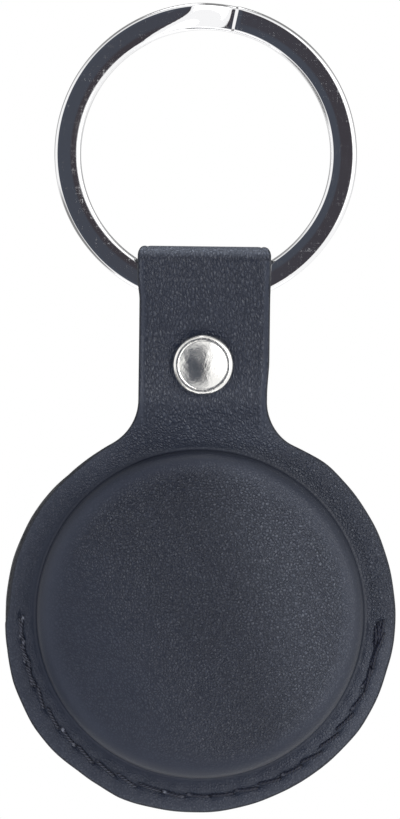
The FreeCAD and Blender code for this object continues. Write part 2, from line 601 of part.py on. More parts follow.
snap_stud = turned_piece("snap_stud", [
    ("Derived.flap_y", STUD_BORE),
    ("Derived.flap_y", "Sizes.stud_radius"),
    (f"{STUD_FACE} + 0.15", "Sizes.stud_radius"),
    (STUD_FACE, "Sizes.stud_radius - 0.15"),
    (STUD_FACE, "Sizes.stud_neck"),
    (f"{STUD_FACE} - 0.4", "Sizes.stud_neck"),
    (f"{STUD_FACE} - 0.5", "Sizes.stud_bulb"),
    (f"{STUD_FACE} - Sizes.stud_reach + 0.12", "Sizes.stud_bulb"),
    (f"{STUD_FACE} - Sizes.stud_reach", "Sizes.stud_bulb - 0.2"),
    (f"{STUD_FACE} - Sizes.stud_reach", STUD_BORE),
])
POST_BOW = "((Sizes.post_radius - 0.1)^2 + (Sizes.post_rise - 0.25)^2) / 2 / (Sizes.post_rise - 0.25)"
snap_post = turned_piece("snap_post", [
    (f"{STUD_FACE} - Sizes.stud_reach", "0"),
    ("Derived.back_face + Sizes.post_rise", "0", POST_BOW, 1),
    ("Derived.back_face + 0.25", "Sizes.post_radius - 0.1"),
    ("Derived.back_face + 0.15", "Sizes.post_radius"),
    ("Derived.back_face", "Sizes.post_radius"),
    ("Derived.back_face", "Sizes.post_barrel"),
    (f"{STUD_FACE} - Sizes.stud_reach", "Sizes.post_barrel"),
])
snap_spring = doc.addObject("Part::Torus", "snap_spring")
snap_spring.setExpression("Radius1", "Sizes.spring_radius")
snap_spring.setExpression("Radius2", "Sizes.spring_wire")
snap_spring.Angle3 = 335
spring_y = f"{SOCKET_END} - Sizes.socket_lip - Sizes.spring_wire - 0.01"
snap_spring.Placement = FreeCAD.Placement(FreeCAD.Vector(0, size(spring_y), size("Derived.snap_z")), FACING_Y)
snap_spring.setExpression("Placement.Base.y", spring_y)
snap_spring.setExpression("Placement.Base.z", "Derived.snap_z")

doc.recompute()

PIECES = [
    split_ring, front_panel, front_lining, back_panel, back_lining, needle_thread, bobbin_thread,
    snap_cap, snap_socket, snap_spring, back_flap, flap_lining, snap_stud, snap_post,
]
for thing in doc.Objects:
    if "Invalid" in thing.State or "Error" in thing.State:
        raise RuntimeError(f"{thing.Name} failed: {thing.State}")
for piece in PIECES:
    shape = piece.Shape
    if shape.isNull() or not shape.isValid() or len(shape.Solids) != 1:
        raise RuntimeError(f"{piece.Label} is not one valid solid: {len(shape.Solids)} solids")

os.makedirs("parts", exist_ok=True)
for piece in PIECES:
    piece.Shape.exportStep(f"parts/{piece.Label}.step")
    box = piece.Shape.BoundBox
    print(f"{piece.Label:14s} {piece.Shape.Volume:9.2f} mm3  x {box.XMin:7.2f} {box.XMax:7.2f}"
          f"  y {box.YMin:6.2f} {box.YMax:6.2f}  z {box.ZMin:7.2f} {box.ZMax:7.2f}")
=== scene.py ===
import math

import bmesh
import bpy
import numpy as np
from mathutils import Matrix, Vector


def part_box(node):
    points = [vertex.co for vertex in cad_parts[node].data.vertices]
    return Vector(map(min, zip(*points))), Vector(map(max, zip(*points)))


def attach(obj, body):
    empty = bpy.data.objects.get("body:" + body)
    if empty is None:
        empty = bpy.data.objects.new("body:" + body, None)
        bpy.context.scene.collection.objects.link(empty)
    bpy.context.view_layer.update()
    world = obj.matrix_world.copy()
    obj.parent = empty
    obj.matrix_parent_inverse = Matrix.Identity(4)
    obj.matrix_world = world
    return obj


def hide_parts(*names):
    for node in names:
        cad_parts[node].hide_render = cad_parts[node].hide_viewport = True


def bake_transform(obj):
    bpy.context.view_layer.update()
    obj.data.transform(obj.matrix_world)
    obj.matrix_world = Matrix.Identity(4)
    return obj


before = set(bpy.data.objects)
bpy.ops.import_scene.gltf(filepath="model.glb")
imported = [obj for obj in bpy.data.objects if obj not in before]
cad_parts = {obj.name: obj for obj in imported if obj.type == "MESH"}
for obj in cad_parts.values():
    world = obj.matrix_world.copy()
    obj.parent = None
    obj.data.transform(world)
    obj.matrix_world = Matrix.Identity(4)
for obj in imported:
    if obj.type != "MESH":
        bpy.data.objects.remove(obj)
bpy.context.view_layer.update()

MM = 0.001

# Places read from the frame, in metres. The front faces -Y and the ring's eye is the origin.
RING_LOW, RING_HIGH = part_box("split_ring")
FRONT_LOW, FRONT_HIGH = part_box("front_panel")
BACK_LOW, BACK_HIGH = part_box("back_panel")
FLAP_LOW, FLAP_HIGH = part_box("back_flap")
_, LINING_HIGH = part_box("front_lining")
BACK_LINING_LOW, BACK_LINING_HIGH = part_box("back_lining")
CAP_LOW, CAP_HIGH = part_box("snap_cap")
POST_LOW, POST_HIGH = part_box("snap_post")
SOCKET_LOW, SOCKET_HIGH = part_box("snap_socket")
STUD_LOW, STUD_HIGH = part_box("snap_stud")
SPRING_LOW, SPRING_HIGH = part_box("snap_spring")

# Split ring, with turns in degrees from its top
RING_RADIUS = RING_HIGH.z
WIRE_WIDTH = 2.8 * MM
WIRE_THICK = 1.15 * MM
WIRE_ROUND = 0.42 * MM
FACET_WIDE, FACET_SLOPE = 0.58 * MM, math.tan(math.radians(2.3))
CUT_TURN, TAIL_TURN = 11.0, 694.0
STEP_FROM_INSIDE, STEP_FROM_OUTSIDE, STEP_TO = 318.0, 353.5, 370.0

# Leather: its cut, the dome, and the strap's leans and bends
LEATHER = 0.95 * MM
EDGE_ROUND = 0.17 * MM
DISC_RADIUS = FRONT_HIGH.x
DISC_Z = FRONT_LOW.z + DISC_RADIUS
DOME_Z = DISC_Z + 0.3 * MM
DOME_RADIUS = 17.3 * MM
DOME_SHOULDER = 1.8 * MM
DOME_CROWN = 48 * MM
DOME_DRAFT = math.radians(2)
DOME_FOOT = 0.4 * MM
DOME_TOP = FRONT_LOW.y
RIM_Y = -1.15 * MM
STRAP_HALF = 6.8 * MM
STRAP_SPREAD = 0.24 * MM
STRAP_Y = -2.7 * MM
FLARE_RADIUS = 5.3 * MM
LOOP_Z = -13.55 * MM
LOOP_INSIDE = 2.8 * MM
LOOP_LEAN, NECK_LEAN, TAIL_LEAN = math.radians(11.5), math.radians(17.5), math.radians(55.0)
LOOP_BEND, NECK_BEND, TAIL_BEND, CROWN_BEND = 3.0 * MM, 3.2 * MM, 1.6 * MM, 1.45 * MM
NECK_Z = DISC_Z + 20 * MM
NECK_TOP = CAP_LOW.z - 0.1 * MM
TAIL_THICK = 0.5 * MM
TAIL_Y = STRAP_Y + LEATHER + 0.05 * MM
FLANGE_ROWS = 26
STRIP_SMOOTH = 0.75
SNAP_Z = (CAP_LOW.z + CAP_HIGH.z) / 2
CAP_RADIUS = (CAP_HIGH.z - CAP_LOW.z) / 2
TAB_CORNER = 3.6 * MM

# Seam over the lower half of the rim, with the degrees from hole to hole
SEAM_RADIUS = 18.9 * MM
STITCHES = 23
STITCH_TURN = 180.0 / STITCHES
THREAD = 0.18 * MM

# Floor below the holder
FLOOR_RADIUS, FLOOR_DROP = 0.25, 0.25


# Mesh making
def patch(points, closed=False, flip=False, slot=0, **values):
    """A grid of points, rows by columns, with values at each point for the materials."""
    return {"points": points, "closed": closed, "flip": flip, "slot": slot, "values": values}


def end_cap(rim, flip=False):
    """A lid over a closed rim, drawn together at its middle."""
    return patch(np.stack([rim, np.broadcast_to(rim.mean(axis=0), rim.shape)]), True, flip)


def patch_faces(rows, columns, closed, flip):
    """Quads between neighbouring rows and columns; a closed grid joins its last column to its first."""
    row, column = np.meshgrid(np.arange(rows - 1), np.arange(columns - (not closed)), indexing="ij")
    beside = (column + 1) % columns
    quads = [row * columns + column, row * columns + beside,
             (row + 1) * columns + beside, (row + 1) * columns + column]
    quads = np.stack(quads, axis=-1).reshape(-1, 4)
    return quads[:, ::-1] if flip else quads


def patch_object(name, patches, materials):
    """One object from patches, welded where their borders meet."""
    points, faces, slots, start = [], [], [], 0
    names = sorted({key for part in patches for key in part["values"]})
    values = {key: [] for key in names}
    for part in patches:
        rows, columns = part["points"].shape[:2]
        quads = patch_faces(rows, columns, part["closed"], part["flip"])
        points.append(part["points"].reshape(-1, 3))
        faces.append(quads + start)
        slots.append(np.full(len(quads), part["slot"]))
        for key in names:
            given = np.broadcast_to(part["values"].get(key, 0.0), (rows, columns))
            values[key].append(given.reshape(-1))
        start += rows * columns
    mesh = bpy.data.meshes.new(name)
    mesh.from_pydata(np.concatenate(points).tolist(), [], np.concatenate(faces).tolist())
    mesh.polygons.foreach_set("material_index", np.concatenate(slots).astype(np.int32))
    for key in names:
        layer = mesh.attributes.new(key, "FLOAT", "POINT")
        layer.data.foreach_set("value", np.concatenate(values[key]).astype(np.float32))
    work = bmesh.new()
    work.from_mesh(mesh)
    bmesh.ops.remove_doubles(work, verts=work.verts, dist=1e-7)
    bmesh.ops.recalc_face_normals(work, faces=work.faces)
    for face in work.faces:
        face.smooth = True
    work.to_mesh(mesh)
    work.free()
    for material in materials:
        mesh.materials.append(material)
    thing = bpy.data.objects.new(name, mesh)
    bpy.context.scene.collection.objects.link(thing)
    return thing


def piece(name, patches, materials, body, nodes):
    """An object of the holder, on a body if one is named, in place of its nodes."""
    thing = patch_object(name, patches, materials)
    if body:
        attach(thing, body)
    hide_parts(*nodes)
    return thing


def stack(*columns):
    """Coordinates or parts of them, spread over one grid, as points."""
    return np.stack(np.broadcast_arrays(*columns), axis=-1)


def smooth_step(low, high, value):
    """0 below low, 1 above high, eased between."""
    share = np.clip((value - low) / (high - low), 0, 1)
    return share * share * (3 - 2 * share)


def bell(value, middle, width):
    """1 at the middle, falling off over the width."""
    return np.exp(-(((value - middle) / width) ** 2))


def waves(angle, *terms):
    """Sum of sines: each term is how many waves per turn, its height and its phase."""
    return sum(height * np.sin(count * angle + phase) for count, height, phase in terms)


def arc(centre, radius, first, last, count):
    """Points on a circle from one angle to another, in degrees."""
    angle = np.radians(np.linspace(first, last, count))
    return np.stack([centre[0] + radius * np.cos(angle), centre[1] + radius * np.sin(angle)], axis=-1)


# Materials
def connect(tree, node, inputs):
    """Feed a node's inputs, each given by name, or by place as i0, i1 and so on."""
    for key, value in inputs.items():
        socket = node.inputs[int(key[1:])] if key[1:].isdigit() else node.inputs[key.replace("_", " ")]
        if isinstance(value, bpy.types.NodeSocket):
            tree.links.new(value, socket)
        else:
            socket.default_value = value


def node_adder(tree):
    """A function that adds a node to a tree, with its settings and inputs."""
    def add(kind, settings=None, **inputs):
        made = tree.nodes.new(f"ShaderNode{kind}")
        for key, value in (settings or {}).items():
            setattr(made, key, value)
        connect(tree, made, inputs)
        return made
    return add


def new_material(name):
    """A material with a Principled surface, a function that adds nodes and one that feeds the surface."""
    material = bpy.data.materials.new(name)
    material.use_nodes = True
    tree = material.node_tree

    def feed(**inputs):
        connect(tree, tree.nodes["Principled BSDF"], inputs)

    return material, node_adder(tree), feed


def maths(add, operation, first, second=0.0, third=0.0):
    """One operation on numbers."""
    return add("Math", {"operation": operation}, i0=first, i1=second, i2=third).outputs[0]


def ramp(add, value, low, high, to_low=0.0, to_high=1.0):
    """A value eased from one range into another."""
    made = add("MapRange", {"interpolation_type": "SMOOTHSTEP"}, Value=value, From_Min=low, From_Max=high,
               To_Min=to_low, To_Max=to_high)
    return made.outputs[0]


def blend_colours(add, share, first, second):
    """The first colour where the share is 0, the second where it is 1."""
    return add("Mix", {"data_type": "RGBA"}, Factor=share, i6=first, i7=second).outputs[2]


def noise(add, place, scale, detail, **more):
    """Cloudy noise from 0 to 1; the scale is about how many clouds there are to a metre."""
    return add("TexNoise", Vector=place, Scale=scale, Detail=detail, **more).outputs["Fac"]


def point_value(add, name):
    """A value that the mesh carries at each point."""
    return add("Attribute", {"attribute_name": name}).outputs["Fac"]


def leather_material():
    """Dark navy leather: small pebbles parted by narrow valleys, with finer wrinkles on them, drawn out
    lengthways on the strap and smoothed where the hide is stretched over the mould. Painted highlights and a
    painted lift of shaded places pale the pebbles' tops."""
    material, add, feed = new_material("pebbled_leather")
    place = add("TexCoord").outputs["Object"]
    x, y, z = add("SeparateXYZ", Vector=place).outputs
    above = maths(add, "MAXIMUM", maths(add, "SUBTRACT", z, NECK_Z), 0.0)
    drawn = maths(add, "MULTIPLY_ADD", above, 0.5, maths(add, "MINIMUM", z, NECK_Z))
    place = add("CombineXYZ", X=x, Y=y, Z=drawn).outputs[0]
    wander = add("TexNoise", Vector=place, Scale=3000.0, Detail=2.0)
    shift = add("VectorMath", {"operation": "SCALE"}, i0=wander.outputs["Color"], Scale=0.00016)
    place = add("VectorMath", {"operation": "ADD"}, i0=place, i1=shift.outputs[0]).outputs[0]
    valley = add("TexVoronoi", {"feature": "DISTANCE_TO_EDGE"}, Vector=place, Scale=3200.0)
    wrinkle = noise(add, place, 5000.0, 1.5, Distortion=0.6)
    swell = noise(add, place, 1500.0, 2.0)
    mottle = maths(add, "MULTIPLY_ADD", noise(add, place, 260.0, 3.0), 0.4, -0.2)
    pebble = ramp(add, valley.outputs["Distance"], 0.0, 0.42)
    height = maths(add, "MULTIPLY_ADD", ramp(add, wrinkle, 0.3, 0.7), 0.5, pebble)
    raised = maths(add, "MULTIPLY_ADD", swell, 0.6, height)
    grain = point_value(add, "grain")
    relief = maths(add, "MULTIPLY", maths(add, "SUBTRACT", ramp(add, height, 0.1, 1.2), 0.5), grain)
    tone = maths(add, "ADD", mottle, maths(add, "ADD", relief, 0.5))
    colour = blend_colours(add, tone, (0.0075, 0.0102, 0.0205, 1), (0.0198, 0.0253, 0.0437, 1))
    tops = maths(add, "MULTIPLY_ADD", relief, 0.9, 1.0)
    # Painted light: a value at each point pales the colour towards a light blue-grey, most on the pebbles'
    # tops, as painted highlights and a painted lift of shaded leather.
    painted_pale = maths(add, "MULTIPLY", point_value(add, "worn"), tops)
    dull = maths(add, "MULTIPLY_ADD", grain, -0.24, 0.5)
    feed(Base_Color=blend_colours(add, painted_pale, colour, (0.16, 0.18, 0.23, 1)),
         Roughness=maths(add, "MULTIPLY_ADD", relief, -0.12, dull),
         Specular_IOR_Level=maths(add, "MULTIPLY_ADD", relief, 0.2, 0.42),
         Normal=add("Bump", Strength=grain, Distance=0.00009, Height=raised).outputs[0])
    return material


def edge_material():
    """Edge paint: dark, a little glossy, with the hide's fibres faintly through it."""
    material, add, feed = new_material("edge_paint")
    place = add("TexCoord").outputs["Object"]
    fibre = noise(add, place, 2600.0, 4.0)
    mixed = maths(add, "MULTIPLY_ADD", noise(add, place, 300.0, 2.0), 0.5, fibre)
    dark, light = (0.012, 0.014, 0.02, 1), (0.03, 0.033, 0.043, 1)
    feed(Base_Color=blend_colours(add, ramp(add, mixed, 0.5, 1.0), dark, light),
         Roughness=ramp(add, mixed, 0.5, 1.0, 0.4, 0.6), Specular_IOR_Level=0.3,
         Normal=add("Bump", Strength=0.35, Distance=0.0001, Height=mixed).outputs[0])
    return material


def lining_material():
    """Napped microfibre: dark grey, matt, with short fibres lying in soft patches."""
    material, add, feed = new_material("napped_lining")
    place = add("TexCoord").outputs["Object"]
    nap = noise(add, place, 5200.0, 4.0)
    mixed = maths(add, "MULTIPLY_ADD", noise(add, place, 330.0, 3.0), 0.8, nap)
    dark, light = (0.026, 0.027, 0.032, 1), (0.07, 0.072, 0.08, 1)
    feed(Base_Color=blend_colours(add, ramp(add, mixed, 0.6, 1.2), dark, light), Roughness=0.95,
         Specular_IOR_Level=0.2, Sheen_Weight=0.25, Sheen_Roughness=0.6,
         Normal=add("Bump", Strength=0.5, Distance=0.0001, Height=nap).outputs[0])
    return material


def thread_material():
    """Twisted navy polyester: fine fibres along the ply, with a silky gleam, and painted pale glints at the
    holes and on the ply's ridges.
    """
    material, add, feed = new_material("navy_thread")
    fibre = noise(add, add("TexCoord").outputs["Object"], 7000.0, 3.0)
    shade = maths(add, "MULTIPLY_ADD", fibre, 0.5, point_value(add, "ply"))
    dark, light, pale = (0.0025, 0.003, 0.007, 1), (0.013, 0.016, 0.032, 1), (0.22, 0.235, 0.29, 1)
    colour = blend_colours(add, ramp(add, shade, 0.2, 1.2), dark, light)
    # Painted glints pale the thread's colour.
    feed(Base_Color=blend_colours(add, point_value(add, "fray"), colour, pale),
         Roughness=0.5, Specular_IOR_Level=0.4, Sheen_Weight=0.04,
         Normal=add("Bump", Strength=0.4, Distance=0.00005, Height=fibre).outputs[0])
    return material


def plate_material(name, colour, roughness, scratch, dents):
    """Polished nickel plate: hairline scratches and nicks that are a little dull, faint smudges, and shallow
    dents that break up what it mirrors."""
    material, add, feed = new_material(name)
    place = add("TexCoord").outputs["Object"]
    lengthways = add("Mapping", Vector=place, Scale=(1.0, 1.0, 14.0), Rotation=(0.0, 0.6, 0.0)).outputs[0]
    crossways = add("Mapping", Vector=place, Scale=(12.0, 1.0, 1.0), Rotation=(0.0, 0.35, 0.0)).outputs[0]
    first = noise(add, lengthways, 420.0, 6.0, Roughness=0.7)
    second = noise(add, crossways, 500.0, 6.0, Roughness=0.7)
    lines = ramp(add, maths(add, "MULTIPLY", first, second), 0.27, 0.445)
    nick = add("TexVoronoi", Vector=place, Scale=620.0).outputs["Distance"]
    marks = maths(add, "MULTIPLY_ADD", ramp(add, nick, 0.12, 0.04), 0.45, lines)
    dull = ramp(add, noise(add, place, 420.0, 3.0), 0.35, 0.75, roughness, roughness * 1.7)
    dent = noise(add, place, 2200.0, 3.0)
    feed(Base_Color=(*colour, 1), Metallic=1.0, Roughness=maths(add, "MULTIPLY_ADD", marks, scratch, dull),
         Normal=add("Bump", Strength=dents, Distance=0.0001, Height=dent).outputs[0])
    return material


LEATHER_LOOK = leather_material()
EDGE_LOOK = edge_material()
LINING_LOOK = lining_material()
THREAD_LOOK = thread_material()
RING_LOOK = plate_material("ring_plate", (0.92, 0.92, 0.93), 0.035, 0.22, 0.012)
SNAP_LOOK = plate_material("snap_plate", (0.93, 0.92, 0.895), 0.15, 0.08, 0.27)
SPRING_LOOK = plate_material("spring_wire", (0.55, 0.55, 0.54), 0.22, 0.1, 0.02)


# Split ring
def wire_outline():
    """The flat wire's section, with round edges, as pairs of places outward and along the eye's axis. Both
    faces fall off a little towards the inner edge, in a narrow facet that mirrors another side."""
    half_wide, half_thick = WIRE_WIDTH / 2 - WIRE_ROUND, WIRE_THICK / 2 - WIRE_ROUND
    corners = [(half_wide, half_thick, 0), (-half_wide, half_thick, 90),
               (-half_wide, -half_thick, 180), (half_wide, -half_thick, 270)]
    rounded = [arc((x, y), WIRE_ROUND, turn, turn + 90, 9) for x, y, turn in corners]
    after = rounded[1:] + rounded[:1]
    flats = [np.linspace(one[-1], other[0], 14)[1:-1] for one, other in zip(rounded, after)]
    outline = np.concatenate([line for pair in zip(rounded, flats) for line in pair])
    fall = FACET_SLOPE * np.clip(FACET_WIDE - half_wide - outline[:, 0], 0, FACET_WIDE)
    outline[:, 1] *= 1 - 2 * fall / WIRE_THICK
    return outline


def split_ring():
    """The wire's section carried twice round the eye. It lies in the front layer, steps back where the two
    turns cross, bending at its inner edge long before its outer one, and ends in the rear layer."""
    section = wire_outline()
    outward, through = section[None, :, 0], section[None, :, 1]
    turn = np.unique(np.concatenate([np.linspace(CUT_TURN, TAIL_TURN, 400),
                                     np.linspace(STEP_FROM_INSIDE - 4, STEP_TO + 4, 160)]))
    turn = turn[:, None]
    inward = 0.5 - outward / WIRE_WIDTH
    apart = (RING_HIGH.y - RING_LOW.y) - WIRE_THICK
    step_from = STEP_FROM_OUTSIDE - (STEP_FROM_OUTSIDE - STEP_FROM_INSIDE) * inward ** 3
    layer = apart * (smooth_step(step_from, STEP_TO, turn) - 0.5)
    # The sheared ends are drawn in a little, so that their edges catch the light.
    from_end = np.minimum(turn - CUT_TURN, TAIL_TURN - turn)
    shrink = 1 - 0.05 * np.clip(1 - from_end / 0.5, 0, 1) ** 2
    radial = RING_RADIUS - WIRE_WIDTH / 2 + outward * shrink
    angle = np.radians(turn)
    wall = stack(radial * np.sin(angle), layer + through * shrink, radial * np.cos(angle))
    patches = [patch(wall, True), end_cap(wall[0], True), end_cap(wall[-1])]
    return piece("ring_wire", patches, [RING_LOOK], "key_ring", ["split_ring"])


split_ring()


# Leather: the side view of the strap
def strap_path():
    """Inner face of the front leather seen from the side, as a run of straights and bends that starts at the
    rim and goes up the neck and strap, over the ring and down to the pared end behind the strap.
    Gives the lengths along it, their places along Y and Z and their heading (0 is up, more leans forward),
    and the length at which each run starts."""
    neck_out = NECK_BEND + LEATHER
    loop_out = LOOP_INSIDE + LEATHER
    neck_run = (RIM_Y - STRAP_Y - (NECK_BEND + neck_out) * (1 - math.cos(NECK_LEAN))) / math.sin(NECK_LEAN)
    neck_low = NECK_TOP - (NECK_BEND + neck_out) * math.sin(NECK_LEAN) - neck_run * math.cos(NECK_LEAN)
    lean_run = (loop_out * math.cos(LOOP_LEAN) + STRAP_Y
                - LOOP_BEND * (1 - math.cos(LOOP_LEAN))) / math.sin(LOOP_LEAN)
    lean_z = LOOP_Z - (loop_out + LOOP_BEND) * math.sin(LOOP_LEAN) - lean_run * math.cos(LOOP_LEAN)
    tail_run = (LOOP_INSIDE * math.cos(TAIL_LEAN) - TAIL_Y
                - TAIL_BEND * (1 - math.cos(TAIL_LEAN))) / math.sin(TAIL_LEAN)
    tail_z = LOOP_Z - (LOOP_INSIDE + TAIL_BEND) * math.sin(TAIL_LEAN) - tail_run * math.cos(TAIL_LEAN)
    start = DISC_Z
    quarter = math.pi / 2
    crown_run = loop_out - CROWN_BEND
    runs = [
        (neck_low - start, 0.0),
        (neck_out * NECK_LEAN, NECK_LEAN),
        (neck_run, 0.0),
        (NECK_BEND * NECK_LEAN, -NECK_LEAN),
        (lean_z - NECK_TOP, 0.0),
        ((LOOP_BEND + LEATHER) * LOOP_LEAN, LOOP_LEAN),
        (lean_run, 0.0),
        (LOOP_INSIDE * LOOP_LEAN, -LOOP_LEAN),
        (crown_run, 0.0),
        ((CROWN_BEND - LEATHER) * quarter, -quarter),
        (crown_run, 0.0),
        (LOOP_INSIDE * (quarter + TAIL_LEAN), -quarter - TAIL_LEAN),
        (tail_run, 0.0),
        (TAIL_BEND * TAIL_LEAN, TAIL_LEAN),
        (tail_z - NECK_TOP, 0.0),
    ]
    length = np.concatenate([[0.0], np.cumsum([run for run, _ in runs])])
    heading = np.concatenate([[0.0], np.cumsum([turn for _, turn in runs])])
    along = np.unique(np.concatenate([np.linspace(0, length[-1], 6000), length]))
    lean = np.interp(along, length, heading)
    middle = (lean[1:] + lean[:-1]) / 2
    step = np.diff(along)
    y = np.concatenate([[0.0], np.cumsum(-np.sin(middle) * step)]) + RIM_Y + LEATHER
    z = np.concatenate([[0.0], np.cumsum(np.cos(middle) * step)]) + start
    return along, y, z, lean, length


PATH_S, PATH_Y, PATH_Z, PATH_LEAN, PATH_MARKS = strap_path()
# Lengths at which four runs start: the bend below the loop, the fold, its far side and the tail.
LOOP_S, FOLD_S, FOLDED_S, TAIL_S = (float(PATH_MARKS[run]) for run in (5, 9, 10, 12))
BELOW_LOOP = PATH_S <= LOOP_S
CUT_Z = NECK_TOP + 0.1 * MM
CUT_S = float(np.interp(CUT_Z, PATH_Z[BELOW_LOOP], PATH_S[BELOW_LOOP]))
LOOP_TOP = float(PATH_Z.max()) + LEATHER


def strap_depth(z, side):
    """Place along Y of the leather's inner (0) or outer (1) face at a height below the loop."""
    lean = PATH_LEAN[BELOW_LOOP]
    height = PATH_Z[BELOW_LOOP] - side * LEATHER * np.sin(lean)
    depth = PATH_Y[BELOW_LOOP] - side * LEATHER * np.cos(lean)
    return np.interp(z, height, depth)


def strap_columns(count=52):
    """Shares of the strap's half width, closer together towards its edges."""
    share = np.linspace(-1, 1, count + 1)
    return 0.55 * share + 0.45 * np.sin(share * math.pi / 2)


COLUMNS = strap_columns()


def cut_outline(inset, unevenness):
    """The leather's outline from the front, drawn in by an inset: across the strap from left to right, down
    the hollow curve, round the disc and back up to the left. The unevenness changes the disc's radius."""
    half, disc, flare = STRAP_HALF - inset, DISC_RADIUS - inset, FLARE_RADIUS + inset
    flare_x = STRAP_HALF + FLARE_RADIUS
    flare_z = DISC_Z + math.sqrt((DISC_RADIUS + FLARE_RADIUS) ** 2 - flare_x ** 2)
    lean = math.degrees(math.atan2(flare_z - DISC_Z, flare_x))
    across = np.stack([COLUMNS * half, np.full(len(COLUMNS), CUT_Z)], axis=-1)
    side = np.stack([np.full(3, half), np.linspace(CUT_Z, flare_z, 3)], axis=-1)
    hollow = arc((flare_x, flare_z), flare, 180, 180 + lean, 22)
    round_disc = arc((0, DISC_Z), disc, lean, -90, 170)
    right = np.concatenate([side[1:], hollow[1:], round_disc[1:]])
    left = right[-2::-1] * [-1, 1]
    line = np.concatenate([across, right, left])
    away = line - [0, DISC_Z]
    angle = np.arctan2(away[:, 1], away[:, 0])
    from_top = np.abs((np.degrees(angle) - 90 + 180) % 360 - 180)
    on_disc = smooth_step(24, 42, from_top)
    swell = 1 + on_disc * unevenness(angle) / DISC_RADIUS
    return np.stack([line[:, 0] * swell, DISC_Z + away[:, 1] * swell], axis=-1)


def stray(angle, *knots):
    """How far a cut strays from its circle, from pairs of degrees and millimetres, joined round the turn."""
    at, by = np.array(knots).T
    return MM * np.interp(np.degrees(angle) % 360, at, by, period=360)


def front_unevenness(angle):
    """The front's cut: full at the upper right and lower left, trimmed short of the back at the upper left
    down to the seam's start, where it steps out."""
    slow = stray(angle, (0, 0.07), (20, 0.16), (38, 0.3), (52, 0.4), (70, 0.3), (110, 0.0), (130, -0.3),
                 (145, -0.12), (160, -0.2), (178, -0.3), (182.5, 0.06), (190, 0.07), (200, 0.34),
                 (214, 0.48), (222, 0.44), (232, 0.24), (240, 0.22), (246, 0.36), (256, 0.24), (270, 0.1),
                 (290, -0.05), (300, -0.14), (312, -0.06), (325, 0.06), (345, 0.0), (354, 0.08))
    return slow + waves(angle, (13, 0.02 * MM, 2.0), (29, 0.012 * MM, 0.6))


def back_unevenness(angle):
    """The back's cut follows the front's, but is left wide of it at the upper left."""
    wide = stray(angle, (0, -0.04), (100, -0.04), (128, 0.1), (150, 0.3), (178, 0.34), (183, -0.04))
    return front_unevenness(angle) + wide


def seam_relief(x, z):
    """How deep the seam draws the leather in: a groove along the stitches, a pit at each hole, and puckers
    across it. It fades out past the seam's left end and stops at the right one."""
    off = np.hypot(x, z - DISC_Z) - SEAM_RADIUS
    angle = np.degrees(np.arctan2(z - DISC_Z, x)) % 360
    from_hole = (angle - 180.0) / STITCH_TURN
    near_hole = np.abs(from_hole - np.round(from_hole)) * math.radians(STITCH_TURN) * SEAM_RADIUS
    groove = 0.14 * MM * bell(off, 0, 0.32 * MM)
    pit = 0.24 * MM * bell(np.hypot(off, near_hole), 0, 0.26 * MM)
    pucker = 0.09 * MM * np.cos(2 * math.pi * from_hole) * bell(off, 0, 0.9 * MM)
    swell = -0.04 * MM * bell(np.abs(off), 0.9 * MM, 0.45 * MM)
    # Short creases run out to the edge from the seam's start.
    crease = sum(bell(angle, at, 0.35) for at in (184.6, 187.3, 190.8))
    crease = 0.07 * MM * crease * smooth_step(-0.4 * MM, 0.5 * MM, off)
    return smooth_step(176.0, 180.0, angle) * (groove + pit + pucker + swell + crease)


def edge_crease(from_edge):
    """A line pressed along the strap, half a millimetre in from its edge."""
    return 0.09 * MM * bell(from_edge, 0.52 * MM, 0.13 * MM)


def side_strip(from_edge):
    """Where the strap is pressed smooth: outside the line along its edge."""
    return smooth_step(0.8 * MM, 0.5 * MM, from_edge)


def dome_profile(depth, rows, foot_y, foot_round):
    """Radius and place along Y of the dome at a depth under its outer face: from the middle of its top over
    the crown, round the shoulder, down the drafted flank and out along a curve into the flange at foot_y."""
    top_rows, turn_rows, flank_rows, foot_rows = rows
    crown, shoulder = DOME_CROWN - depth, DOME_SHOULDER - depth
    centre_y = DOME_TOP + DOME_CROWN
    upright = math.pi / 2 - DOME_DRAFT
    # The flank meets the flange's plane at the dome's radius; from there the shoulder's centre is found.
    slope = math.tan(DOME_DRAFT)
    wall = DOME_RADIUS - depth / math.cos(DOME_DRAFT)
    shoulder_r, shoulder_y = DOME_RADIUS - DOME_SHOULDER, 0.0
    for _ in range(30):
        shoulder_y = centre_y - math.sqrt((DOME_CROWN - DOME_SHOULDER) ** 2 - shoulder_r ** 2)
        shoulder_r = DOME_RADIUS - (RIM_Y - shoulder_y) * slope - DOME_SHOULDER / math.cos(DOME_DRAFT)
    reach = math.asin(shoulder_r / (DOME_CROWN - DOME_SHOULDER))
    top = np.linspace(0, reach, top_rows)
    turn = np.linspace(reach, upright, turn_rows)[1:]
    foot = np.linspace(0, upright, foot_rows)
    foot_centre_y = foot_y - foot_round
    foot_centre_r = wall + (foot_centre_y - RIM_Y) * slope + foot_round / math.cos(DOME_DRAFT)
    foot_r = foot_centre_r - foot_round * np.cos(foot + DOME_DRAFT)
    foot_at = foot_centre_y + foot_round * np.sin(foot + DOME_DRAFT)
    top_r, top_y = crown * np.sin(top), centre_y - crown * np.cos(top)
    turn_r, turn_y = shoulder_r + shoulder * np.sin(turn), shoulder_y - shoulder * np.cos(turn)
    share = np.linspace(0, 1, flank_rows + 2)[1:-1]
    flank_r = turn_r[-1] + share * (foot_r[0] - turn_r[-1])
    flank_y = turn_y[-1] + share * (foot_at[0] - turn_y[-1])
    r = np.concatenate([top_r, turn_r, flank_r, foot_r])
    return r, np.concatenate([top_y, turn_y, flank_y, foot_at])


